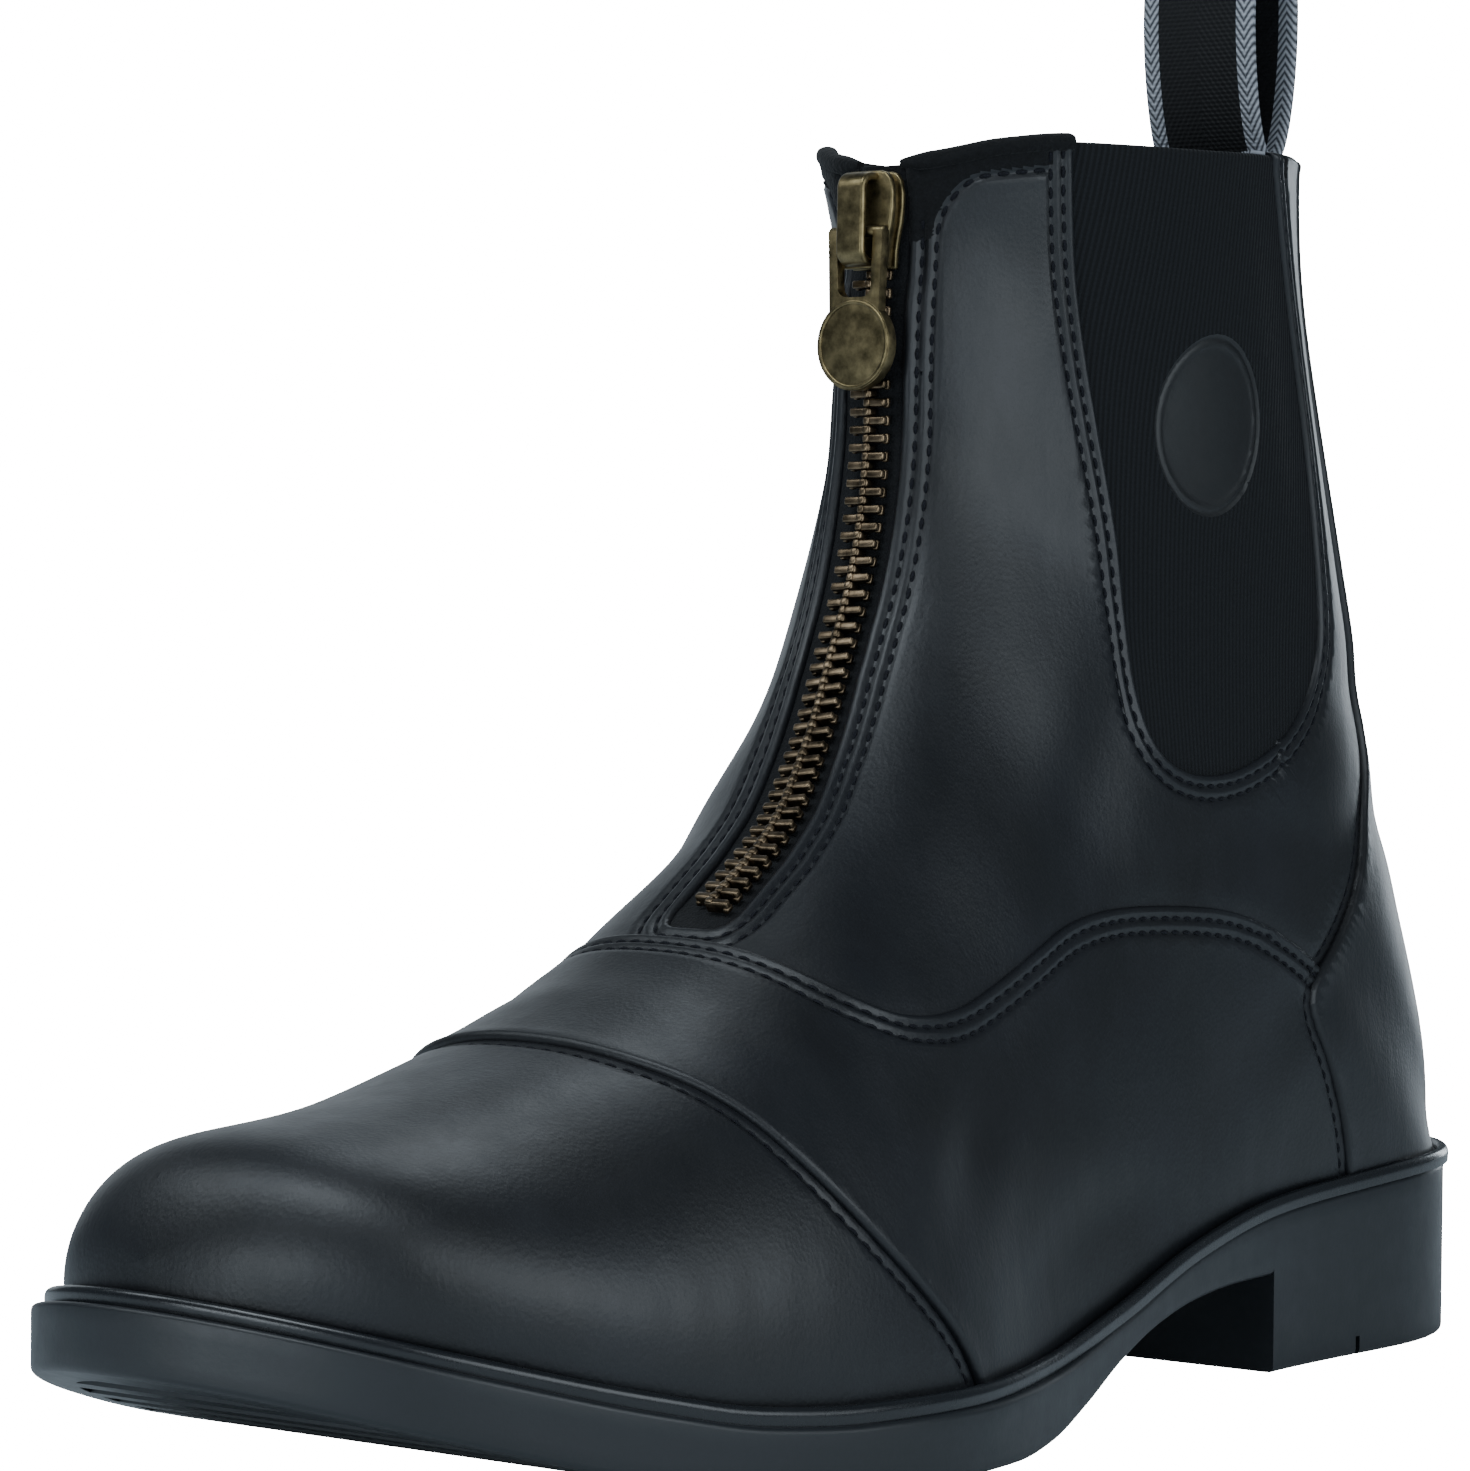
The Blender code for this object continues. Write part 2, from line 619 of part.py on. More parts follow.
def make_sole():
    """The moulded unit sole: top, side, waist, forepart and heel, with a cut tread."""
    count = 46
    edge = 0.5 * MM
    line = offset_outline(0.0)
    soft = offset_outline(edge)
    u = stations(line, count, stop=HEEL_LENGTH)
    u_soft = stations(soft, count, stop=HEEL_LENGTH)
    stop = int(np.argmin(abs(u - HEEL_LENGTH)))
    levels = [
        (soft, u_soft, sole_top(u_soft)),
        (line, u, sole_top(u) - edge),
        (line, u, sole_bottom(u) + edge),
        (soft, u_soft, sole_bottom(u_soft)),
    ]
    points = []
    base = []
    for outline, at, high in levels:
        lateral, medial = ladder_points(outline, at, high)
        base.append(len(points))
        points += list(lateral) + list(medial)
    heel = []
    for outline, at, high in ((line, u, edge), (soft, u_soft, 0.0)):
        lateral, medial = ladder_points(outline, at[: stop + 1], high)
        heel.append(len(points))
        points += list(lateral) + list(medial)
    faces = []
    for i in range(count - 1):
        faces.append([base[0] + i, base[0] + i + 1, base[0] + count + i + 1, base[0] + count + i])
        for upper, lower in ((0, 1), (1, 2)):
            for side in (0, count):
                one, two = base[upper] + side + i, base[lower] + side + i
                faces.append([one, one + 1, two + 1, two])
        if i >= stop:
            for side in (0, count):
                one, two = base[2] + side + i, base[3] + side + i
                faces.append([one, one + 1, two + 1, two])
            faces.append([base[3] + i, base[3] + i + 1, base[3] + count + i + 1, base[3] + count + i])
        else:
            for side in (0, 1):
                one = base[2] + side * count + i
                two = heel[0] + side * (stop + 1) + i
                three = heel[1] + side * (stop + 1) + i
                faces.append([one, one + 1, two + 1, two])
                faces.append([two, two + 1, three + 1, three])
            faces.append([heel[1] + i, heel[1] + i + 1, heel[1] + stop + 2 + i, heel[1] + stop + 1 + i])
    lateral, medial = stop, stop + stop + 1
    faces.append([
        base[3] + stop, base[2] + stop, heel[0] + lateral, heel[1] + lateral,
        heel[1] + medial, heel[0] + medial, base[2] + count + stop, base[3] + count + stop,
    ])
    sole = make_object("sole", points, faces)

    def bottom(u):
        return np.where(u < HEEL_LENGTH, 0.0, sole_bottom(u))

    line = offset_outline(TREAD_RIM)
    pitch = TREAD_GROOVE + TREAD_RIB
    zones = [
        (line[:, 1].min() + 1.0 * MM, HEEL_LENGTH - TREAD_RIM),
        (0.600 * SOLE_LENGTH, line[:, 1].max() - 1.0 * MM),
    ]
    cutters = []
    for low, high in zones:
        grooves = max(1, int((high - low + TREAD_RIB) / pitch))
        first = (low + high - grooves * pitch + TREAD_RIB) / 2
        for k in range(grooves):
            start = first + k * pitch
            cutters.append(ladder_solid("groove", [
                (TREAD_RIM, lambda u: bottom(u) + TREAD_DEPTH),
                (TREAD_RIM, lambda u: bottom(u) - 2 * TREAD_DEPTH),
            ], 4, start, start + TREAD_GROOVE))
    first = cutters[0]
    with_all = bmesh.new()
    for cutter in cutters:
        with_all.from_mesh(cutter.data)
    with_all.to_mesh(first.data)
    with_all.free()
    for cutter in cutters[1:]:
        bpy.data.objects.remove(cutter, do_unlink=True)
    combine(sole, first, "DIFFERENCE")
    middle = to_y(HEEL_NOTCH_AT)
    reach = HEEL_NOTCH_WIDTH / 2
    notch = prism("notch", [
        (middle - reach, -1 * MM), (middle + reach, -1 * MM),
        (middle + reach, HEEL_NOTCH_DEPTH), (middle - reach, HEEL_NOTCH_DEPTH),
    ], 0, -BALL_WIDTH, BALL_WIDTH)
    combine(sole, notch, "DIFFERENCE")
    return tidy(sole)


WELT_SKIP = 5


def welt_room(row):
    """How far out of the last the welt keeps clear, for each row: the wall that stands there and a gap."""
    station = base_point(base_at(row), 1)[1] / SOLE_LENGTH
    ends = [BACK_SEAM[-2][0] + 0.010, BACK_SEAM[-2][0] + 0.045, CAP_SEAM[-3][0], CAP_SEAM[-3][0] + 0.035]
    wall = np.interp(station, ends, [BACK_WALL, VAMP_WALL, VAMP_WALL, CAP_WALL])
    return wall + 1.5 * CLEARANCE


def make_welt():
    """The raised bead on the sole's top, cut to the upper that it runs round."""
    count = len(OUTLINE) // WELT_SKIP
    profile = [
        # share of the welt's width in from its edge, share of its height
        (0.00, 0.00),
        (-0.06, 0.35),
        (0.02, 0.72),
        (0.30, 1.00),
        (2.60, 0.93),
        (2.60, 0.00),
    ]
    points = []
    for inward, high in profile:
        line = offset_outline(WELT_WIDTH * inward + shelf(OUTLINE[:, 1]))[::WELT_SKIP]
        z = sole_top(np.clip(line[:, 1], 0, SOLE_LENGTH)) + SEAT_GAP + WELT_HEIGHT * high
        points += list(np.stack([line[:, 0] - MIDDLE_X, to_y(line[:, 1]), z], 1))
    faces = []
    for k in range(len(profile)):
        after = (k + 1) % len(profile)
        for i in range(count):
            j = (i + 1) % count
            faces.append([k * count + i, k * count + j, after * count + j, after * count + i])
    welt = make_object("welt", points, faces)
    combine(welt, last_solid("room", welt_room), "DIFFERENCE")
    return tidy(welt)


def floor_block(name, low, gap):
    """All that lies under the sole's top, raised by gap."""
    return ladder_solid(name, [
        (-12 * MM, lambda u: sole_top(np.clip(u, 0, SOLE_LENGTH)) + gap),
        (-12 * MM, lambda u: np.full(u.shape, low)),
    ], 58)


def collar_block(name, drop=0.0):
    """All that lies above the collar line."""
    u = np.linspace(COLLAR_LINE[0][0] - 0.1, COLLAR_LINE[-1][0] + 0.15, 40)
    line = [(to_y(a * SOLE_LENGTH), collar_high(a) * COLLAR_HEIGHT - drop) for a in u]
    top = COLLAR_HEIGHT * 1.3
    return prism(name, line + [(line[-1][0], top), (line[0][0], top)], 0, -ANKLE_WIDTH * 1.5, ANKLE_WIDTH * 1.5)


def behind_cap():
    """Side view of all that lies behind the toe cap's seam."""
    seam = [tuple(p) for p in smooth_line(CAP_SEAM, 24)]
    back = to_y(-0.1 * SOLE_LENGTH)
    return seam + [(back, seam[-1][1]), (back, seam[0][1])]


def above_wave(under=0.0):
    """Side view of the front quarters, down to the vamp's seam and under it by some distance."""
    seam = [tuple(p) for p in smooth_line(WAVE_SEAM, 34, -under)]
    top = COLLAR_HEIGHT * 1.2
    return seam + [(seam[-1][0], top), (seam[0][0], top)]


def behind_back_seam():
    """Side view of the back panel."""
    seam = [tuple(p) for p in smooth_line(BACK_SEAM, 32)]
    back = to_y(-0.1 * SOLE_LENGTH)
    return seam + [(back, seam[-1][1]), (back, seam[0][1])]


def gore_outline(inset=0.0):
    """Side view of the gore's cut-out, made smaller all round by inset."""
    return [tuple(p) for p in smooth_line(GORE_EDGE, 42, inset)]


def zip_slot(inset=0.0):
    """Front view of the zip's opening, as (x, z), made smaller all round by inset."""
    half = ZIP_SLOT_WIDTH / 2 - inset
    low = ZIP_LOW * COLLAR_HEIGHT + inset
    radius = ZIP_END_RADIUS - inset
    top = COLLAR_HEIGHT * 1.2
    heights = list(low + radius * (1 - np.cos(np.linspace(0.15, math.pi / 2, 6))))
    heights += list(np.linspace(low + radius, top, 24)[1:])
    right = []
    left = []
    for z in heights:
        middle = zip_side(z / COLLAR_HEIGHT) * ANKLE_WIDTH - MIDDLE_X
        rise = min(z - low, radius)
        reach = half - radius + math.sqrt(max(radius**2 - (radius - rise) ** 2, 0))
        right.append((middle + reach, z))
        left.append((middle - reach, z))
    return right + left[::-1]


def slot_prism(name, inset=0.0):
    return prism(name, zip_slot(inset), 1, to_y(0.90 * SOLE_LENGTH), to_y(0.34 * SOLE_LENGTH))


def outer_body(name, extra=0.0):
    """The outside of the upper as a full solid with its panels, moved out by extra."""
    wide = BALL_WIDTH
    body = last_solid(name, CAP_WALL + extra)
    quarter = last_solid("quarter", QUARTER_WALL + extra)
    combine(quarter, prism("side", above_wave(PANEL_LAP), 0, -wide, wide), "INTERSECT")
    combine(body, quarter, "UNION")
    vamp = combine(last_solid("vamp", VAMP_WALL + extra), prism("side", behind_cap(), 0, -wide, wide), "INTERSECT")
    combine(vamp, prism("side", above_wave(), 0, -wide, wide), "DIFFERENCE")
    combine(body, vamp, "UNION")
    back = last_solid("back", BACK_WALL + extra)
    combine(back, prism("side", behind_back_seam(), 0, -wide, wide), "INTERSECT")
    return combine(body, back, "UNION")


def make_upper():
    """One hollow wall with its raised panels, open at the collar, the zip, the gores and underneath."""
    wide = BALL_WIDTH
    upper = outer_body("upper")
    combine(upper, floor_block("floor", -0.2 * COLLAR_HEIGHT, SEAT_GAP), "DIFFERENCE")
    combine(upper, collar_block("collar"), "DIFFERENCE")
    combine(upper, last_solid("inside", 0.0, *INNER_GRID), "DIFFERENCE")
    combine(upper, prism("gore", gore_outline(), 0, -wide, wide), "DIFFERENCE")
    combine(upper, slot_prism("slot"), "DIFFERENCE")
    return tidy(upper)


def shell(name, inner, outer, region):
    """A skin of the last between two offsets, inside a region."""
    skin = combine(last_solid(name, outer, 1.8, 25), region, "INTERSECT")
    combine(skin, collar_block("collar"), "DIFFERENCE")
    combine(skin, last_solid("inner", inner, 1.8, 25), "DIFFERENCE")
    return tidy(skin)


def make_gore(name, side):
    middle = -MIDDLE_X
    ends = (middle, middle + 2 * ANKLE_WIDTH) if side > 0 else (middle - 2 * ANKLE_WIDTH, middle)
    region = prism("region", gore_outline(CLEARANCE), 0, *ends)
    return shell(name, 0.3 * MM, 0.3 * MM + GORE_THICKNESS, region)


TAPE_IN = 0.2 * MM
CHAIN_IN = TAPE_IN + TAPE_THICKNESS + 1.5 * CLEARANCE
SLIDER_IN = CHAIN_IN + CLEARANCE


def zip_frame(high, offset):
    """Point, sideways, downward and outward directions on the zip's centre line at given heights."""
    row = np.linspace(5.5, LAST_ROW - 0.1, 400)
    low_a = np.full(row.shape, -0.35)
    high_a = np.full(row.shape, 0.35)
    for _ in range(30):
        middle = (low_a + high_a) / 2
        points = upper_points(row, middle, 0.0)
        target = zip_side(points[:, 2] / COLLAR_HEIGHT) * ANKLE_WIDTH - MIDDLE_X
        past = points[:, 0] > target
        high_a = np.where(past, middle, high_a)
        low_a = np.where(past, low_a, middle)
    middle = (low_a + high_a) / 2
    points = upper_points(row, middle, 0.0)
    outward = (upper_points(row, middle, 1 * MM) - points) / MM
    high = np.atleast_1d(high)
    order = np.argsort(points[:, 2])
    at = np.stack([np.interp(high, points[order, 2], points[order, k]) for k in range(3)], 1)
    out = np.stack([np.interp(high, points[order, 2], outward[order, k]) for k in range(3)], 1)
    step = 1.5 * MM
    above = np.stack([np.interp(high + step, points[order, 2], points[order, k]) for k in range(3)], 1)
    below = np.stack([np.interp(high - step, points[order, 2], points[order, k]) for k in range(3)], 1)
    down = below - above
    down /= np.linalg.norm(down, axis=1)[:, None]
    sideways = np.cross(down, out)
    sideways /= np.linalg.norm(sideways, axis=1)[:, None]
    out = np.cross(sideways, down)
    return at + out * offset, sideways, down, out


def make_teeth():
    """The closed chain of teeth as one comb, bent along the zip's line."""
    top = SLIDER_AT * COLLAR_HEIGHT - SLIDER_LENGTH / 2 - CLEARANCE
    low = ZIP_LOW * COLLAR_HEIGHT + 2.0 * MM
    fine = np.linspace(top, low, 500)
    centre = zip_frame(fine, CHAIN_IN)[0]
    run = np.concatenate([[0], np.cumsum(np.linalg.norm(np.diff(centre, axis=0), axis=1))])
    count = int(run[-1] / (TOOTH_PITCH / 2))
    at = np.arange(count + 1) * (TOOTH_PITCH / 2)
    centre, sideways, down, out = zip_frame(np.interp(at, run, fine), CHAIN_IN)
    columns = [-CHAIN_WIDTH / 2, -CHAIN_CORE / 2, CHAIN_CORE / 2, CHAIN_WIDTH / 2]
    points = []
    index = {}

    def corner(i, j, layer):
        if (i, j, layer) not in index:
            index[i, j, layer] = len(points)
            points.append(centre[i] + sideways[i] * columns[j] + out[i] * CHAIN_HEIGHT * layer)
        return index[i, j, layer]

    filled = {(i, 1) for i in range(count)}
    filled |= {(i, 0) for i in range(0, count, 2)}
    filled |= {(i, 2) for i in range(1, count, 2)}
    faces = []
    for i, j in filled:
        for layer in (0, 1):
            faces.append([corner(i, j, layer), corner(i + 1, j, layer), corner(i + 1, j + 1, layer),
                          corner(i, j + 1, layer)])
        walls = [
            ((i - 1, j), (i, j), (i, j + 1)),
            ((i + 1, j), (i + 1, j), (i + 1, j + 1)),
            ((i, j - 1), (i, j), (i + 1, j)),
            ((i, j + 1), (i, j + 1), (i + 1, j + 1)),
        ]
        for neighbour, one, two in walls:
            if neighbour not in filled:
                faces.append([corner(*one, 0), corner(*two, 0), corner(*two, 1), corner(*one, 1)])
    return tidy(make_object("zip_teeth", points, faces), 1e-7)


def local_matrix(high, offset):
    """Maps (sideways, down, outward) at a height on the zip's line to the world."""
    at, sideways, down, out = (part[0] for part in zip_frame(high, offset))
    matrix = Matrix.Identity(4)
    for column, direction in enumerate((sideways, down, out)):
        for k in range(3):
            matrix[k][column] = direction[k]
    for k in range(3):
        matrix[k][3] = at[k]
    return matrix


def moved(item, matrix):
    item.data.transform(matrix)
    build = bmesh.new()
    build.from_mesh(item.data)
    bmesh.ops.recalc_face_normals(build, faces=build.faces)
    build.to_mesh(item.data)
    build.free()
    return item


HINGE_DROP = (SLIDER_AT - HINGE_AT) * COLLAR_HEIGHT
HINGE_RISE = SLIDER_HEIGHT + TAB_PLAY + TAB_THICKNESS / 2
CROWN_ROOM = TAB_THICKNESS + 2 * TAB_PLAY


def make_slider():
    """Slider body with the crown that holds the tab's bar."""
    half_wide = SLIDER_WIDTH / 2
    half_long = SLIDER_LENGTH / 2
    waist = 0.78
    body = prism("zip_slider", [
        (-half_wide * waist, half_long), (-half_wide * 0.86, 0.35 * half_long), (-half_wide, -0.25 * half_long),
        (-half_wide * 0.96, -0.8 * half_long), (-half_wide * 0.6, -half_long), (half_wide * 0.6, -half_long),
        (half_wide * 0.96, -0.8 * half_long), (half_wide, -0.25 * half_long), (half_wide * 0.86, 0.35 * half_long),
        (half_wide * waist, half_long),
    ], 2, 0.0, SLIDER_HEIGHT)
    low = SLIDER_HEIGHT - 0.4 * MM
    room = SLIDER_HEIGHT + CROWN_ROOM
    top = room + CROWN_THICKNESS
    long = half_long * 0.96
    crown = prism("crown", [
        (-long, low), (-long, room - 0.2 * MM), (-long + 1.4 * MM, top), (long - 1.4 * MM, top),
        (long, room - 0.2 * MM), (long, low), (long - CROWN_THICKNESS, low), (long - CROWN_THICKNESS, room),
        (-long + CROWN_THICKNESS, room), (-long + CROWN_THICKNESS, low),
    ], 0, -CROWN_WIDTH / 2, CROWN_WIDTH / 2)
    combine(body, crown, "UNION")
    return moved(tidy(body), local_matrix(SLIDER_AT * COLLAR_HEIGHT, SLIDER_IN))


def make_tab():
    """Pull tab: a frame with a round plate at its end. It hangs from a bar through the slider's crown."""
    arm = 1.7 * MM
    half = TAB_WIDTH / 2
    radius = DISC_DIAMETER / 2
    plate = prism("pull_tab", [(-half, 0.0), (half, 0.0), (half * 0.86, TAB_REACH), (-half * 0.86, TAB_REACH)], 2,
                  -TAB_THICKNESS / 2, TAB_THICKNESS / 2)
    window = TAB_REACH - radius
    combine(plate, prism("window", [
        (-half + arm, -1 * MM), (half - arm, -1 * MM), ((half - arm) * 0.9, window), (-(half - arm) * 0.9, window),
    ], 2, -TAB_THICKNESS, TAB_THICKNESS), "DIFFERENCE")
    turn = np.linspace(0, 2 * math.pi, 32, endpoint=False)
    disc = prism("disc", np.stack([radius * np.cos(turn), TAB_REACH + radius * np.sin(turn)], 1), 2,
                 -TAB_THICKNESS / 2 - 0.05 * MM, TAB_THICKNESS / 2 + 0.05 * MM)
    combine(plate, disc, "UNION")
    turn = np.linspace(0, 2 * math.pi, 12, endpoint=False) + math.pi / 12
    bar = TAB_THICKNESS / 2 + 0.02 * MM
    combine(plate, prism("bar", np.stack([bar * np.cos(turn), bar * np.sin(turn)], 1), 0, -half, half), "UNION")
    tidy(plate)
    matrix = local_matrix(SLIDER_AT * COLLAR_HEIGHT, SLIDER_IN) @ Matrix.Translation((0, HINGE_DROP, HINGE_RISE))
    moved(plate, matrix)
    pivot = matrix.to_translation()
    plate.data.transform(Matrix.Translation(-pivot))
    plate.location = pivot
    return plate


TAIL_IN = 1.5 * CLEARANCE


def make_loop():
    """Pull loop of webbing: a standing loop over a doubled tail that follows the collar's inner back."""
    back = float(upper_points(LAST_ROW - 1.0, 1.0, 0.0)[1])
    foot = collar_high(0.15) * COLLAR_HEIGHT
    middle = back - CLEARANCE - 2.0 * MM
    turn = np.linspace(0, 2 * math.pi, 56, endpoint=False)
    rise = LOOP_HEIGHT / 2

    def oval(grow):
        z = foot + rise + (rise + grow - WEBBING_THICKNESS) * np.cos(turn)
        low = (1 - np.cos(turn)) / 2
        wide = (LOOP_GAP / 2 + grow) * np.abs(np.sin(turn)) ** 0.85 * np.sign(np.sin(turn)) * (1 - 0.30 * low)
        return [(middle + y, h) for y, h in zip(wide, z)]

    x = -MIDDLE_X
    half = WEBBING_WIDTH / 2
    loop = prism("pull_loop", oval(WEBBING_THICKNESS), 0, x - half, x + half)
    combine(loop, prism("hole", oval(0.0), 0, x - 2 * half, x + 2 * half), "DIFFERENCE")
    root = WEBBING_THICKNESS * 1.6
    tail = last_solid("tail", -TAIL_IN, *INNER_GRID)
    combine(tail, prism("band", [
        (middle - 16 * MM, foot - LOOP_TAIL), (back + 5 * MM, foot - LOOP_TAIL),
        (back + 5 * MM, foot + root), (middle - 16 * MM, foot + root),
    ], 0, x - half, x + half), "INTERSECT")
    combine(tail, last_solid("core", -TAIL_IN - 2 * WEBBING_THICKNESS, *INNER_GRID), "DIFFERENCE")
    combine(loop, tail, "UNION")
    return tidy(loop)


def make_insole():
    """Flat insole on the sole's top, inside the upper."""
    insole = ladder_solid("insole", [
        (-2 * MM, lambda u: sole_top(np.clip(u, 0, SOLE_LENGTH)) + SEAT_GAP + INSOLE_THICKNESS),
        (-2 * MM, lambda u: sole_top(np.clip(u, 0, SOLE_LENGTH)) + SEAT_GAP),
    ], 40)
    combine(insole, last_solid("inside", -2 * CLEARANCE, *INNER_GRID), "INTERSECT")
    return tidy(insole)


def paint(item, colour, roughness, metallic=0.0):
    material = bpy.data.materials.new(item.name)
    material.use_nodes = True
    shader = material.node_tree.nodes["Principled BSDF"]
    shader.inputs["Base Color"].default_value = (*colour, 1.0)
    shader.inputs["Roughness"].default_value = roughness
    shader.inputs["Metallic"].default_value = metallic
    item.data.materials.clear()
    item.data.materials.append(material)


def build():
    for item in list(bpy.data.objects):
        bpy.data.objects.remove(item, do_unlink=True)
    paint(make_sole(), (0.030, 0.033, 0.038), 0.45)
    paint(make_welt(), (0.022, 0.025, 0.030), 0.35)
    paint(make_insole(), (0.05, 0.05, 0.05), 0.8)
    paint(make_upper(), (0.018, 0.020, 0.024), 0.4)
    paint(make_gore("gore_lateral", 1), (0.010, 0.010, 0.012), 0.85)
    paint(make_gore("gore_medial", -1), (0.010, 0.010, 0.012), 0.85)
    tape = shell("zip_tape", TAPE_IN, TAPE_IN + TAPE_THICKNESS, slot_prism("slot", CLEARANCE))
    paint(tape, (0.012, 0.012, 0.013), 0.8)
    paint(make_teeth(), (0.22, 0.15, 0.08), 0.4, 1.0)
    paint(make_slider(), (0.32, 0.26, 0.15), 0.35, 1.0)
    paint(make_tab(), (0.32, 0.26, 0.15), 0.35, 1.0)
    paint(make_loop(), (0.012, 0.012, 0.014), 0.8)


build()
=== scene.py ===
"""Looks of the paddock boot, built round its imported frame.

Every leather panel is a patch of one surface, the outside of the last, worked out from the same sizes and
tables as the part's own solids. A place on it is a pair: row, from 0 at the toe tip to LAST_ROW at the collar,
and across, from -1 at the medial base over the ridge to 1 at the lateral base. Sizes are in metres.
"""

import math

import bmesh
import bpy
import numpy as np
from mathutils import Matrix, Vector


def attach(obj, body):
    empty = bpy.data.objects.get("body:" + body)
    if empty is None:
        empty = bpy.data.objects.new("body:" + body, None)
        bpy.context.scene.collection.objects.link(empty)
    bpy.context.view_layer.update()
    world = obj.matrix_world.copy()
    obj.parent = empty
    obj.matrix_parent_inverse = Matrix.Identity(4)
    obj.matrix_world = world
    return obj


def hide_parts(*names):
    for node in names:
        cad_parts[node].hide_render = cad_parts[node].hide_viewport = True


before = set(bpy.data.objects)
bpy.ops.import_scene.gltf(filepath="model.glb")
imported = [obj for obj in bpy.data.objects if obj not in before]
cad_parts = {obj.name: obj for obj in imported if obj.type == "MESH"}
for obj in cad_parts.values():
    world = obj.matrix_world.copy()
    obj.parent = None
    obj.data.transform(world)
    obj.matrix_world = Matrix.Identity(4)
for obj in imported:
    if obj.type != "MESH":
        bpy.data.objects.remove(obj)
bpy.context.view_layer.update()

MM = 0.001
ROOT = "boot"

# Sole unit
SOLE_LENGTH = 286 * MM
BALL_WIDTH = 104 * MM
FOREPART_THICKNESS = 9.2 * MM
HEEL_RISE = 19 * MM
TOE_SPRING = 18 * MM
HEEL_LENGTH = 75.5 * MM
TREAD_DEPTH = 1.5 * MM
TREAD_RIM = 6.0 * MM
TREAD_GROOVE = 4.5 * MM
TREAD_RIB = 4.0 * MM
HEEL_NOTCH_AT = 49 * MM
HEEL_NOTCH_WIDTH = 1.2 * MM
HEEL_NOTCH_DEPTH = 3.0 * MM

# Welt: a bead that runs round the top of the sole, set in from its edge along the forepart
WELT_WIDTH = 2.0 * MM
WELT_HEIGHT = 2.6 * MM
SHELF_WIDTH = 1.2 * MM
TOE_SHELF_EXTRA = 0.7 * MM
LIP_OUT = 0.7 * MM

# Upper: a lining wall with the leather panels on it, each wall measured from the inside
COLLAR_HEIGHT = 188 * MM
ANKLE_WIDTH = 66 * MM
CAP_WALL = 1.5 * MM
QUARTER_WALL = 1.9 * MM
VAMP_WALL = 2.3 * MM
BACK_WALL = 2.6 * MM
COLLAR_SPARE = 11.0 * MM
BASE_DROP = 0.4 * MM
RIDGE_SIDE = 0.3

# Space between neighbours
CLEARANCE = 0.3 * MM

# Zip
# The leather's edges along the zip: a narrower opening than the solid's, set a little to the medial side.
ZIP_SLOT_WIDTH = 10.6 * MM
ZIP_CUT_SIDE = -1.1 * MM
ZIP_END_RADIUS = 2.2 * MM
TAPE_THICKNESS = 0.8 * MM
CHAIN_WIDTH = 6.8 * MM
CHAIN_HEIGHT = 1.8 * MM
TOOTH_PITCH = 2.7 * MM
SLIDER_LENGTH = 14.5 * MM
SLIDER_WIDTH = 10.4 * MM
SLIDER_HEIGHT = 3.4 * MM
CROWN_WIDTH = 5.0 * MM
CROWN_THICKNESS = 1.2 * MM
TAB_THICKNESS = 1.7 * MM
TAB_WIDTH = 10.2 * MM
TAB_REACH = 16.7 * MM
DISC_DIAMETER = 13.6 * MM
TAB_PLAY = 0.35 * MM

# Pull loop
WEBBING_WIDTH = 21.5 * MM
WEBBING_THICKNESS = 1.6 * MM
LOOP_HEIGHT = 40 * MM
LOOP_GAP = 12.5 * MM
LOOP_TAIL = 13 * MM
WEBBING_EDGE = 3.2 * MM

# How finely the last's surface is divided: rows below and above the turn at the heel's back, and points from
# the ridge to the base. FAR stands for any distance that is too long to matter.
ROWS_LOW = 158
ROWS_HIGH = 78
STEPS_ACROSS = 73
SEAM_POINTS = 160
FAR = 50 * MM


def run_along(points):
    """Distance along a line from its first point to each of them."""
    step = np.diff(points, axis=0)
    length = np.hypot(*step.T) if step.shape[1] == 2 else np.linalg.norm(step, axis=1)
    return np.concatenate([[0], np.cumsum(length)])


def read_off(at, run, line):
    """The columns of a line, read off where run has the values at."""
    return np.stack([np.interp(at, run, line[:, k]) for k in range(line.shape[1])], -1)


def monotone(xs, ys):
    """A smooth curve through a table that never overshoots its rows."""
    xs = np.asarray(xs, float)
    ys = np.asarray(ys, float)
    step = np.diff(xs)
    rise = np.diff(ys) / step
    slope = np.zeros(len(xs))
    same = rise[:-1] * rise[1:] > 0
    weight_a = 2 * step[1:] + step[:-1]
    weight_b = step[1:] + 2 * step[:-1]
    safe = np.where(same, rise[:-1] * rise[1:], 1.0)
    mean = (weight_a + weight_b) * safe / (weight_a * rise[1:] + weight_b * rise[:-1] + (~same))
    slope[1:-1] = np.where(same, mean, 0.0)
    slope[0] = rise[0]
    slope[-1] = rise[-1]

    def value(x):
        x = np.clip(np.asarray(x, float), xs[0], xs[-1])
        k = np.clip(np.searchsorted(xs, x) - 1, 0, len(xs) - 2)
        t = (x - xs[k]) / step[k]
        return (
            ys[k] * (1 + 2 * t) * (1 - t) ** 2
            + slope[k] * step[k] * t * (1 - t) ** 2
            + ys[k + 1] * t * t * (3 - 2 * t)
            + slope[k + 1] * step[k] * t * t * (t - 1)
        )

    return value


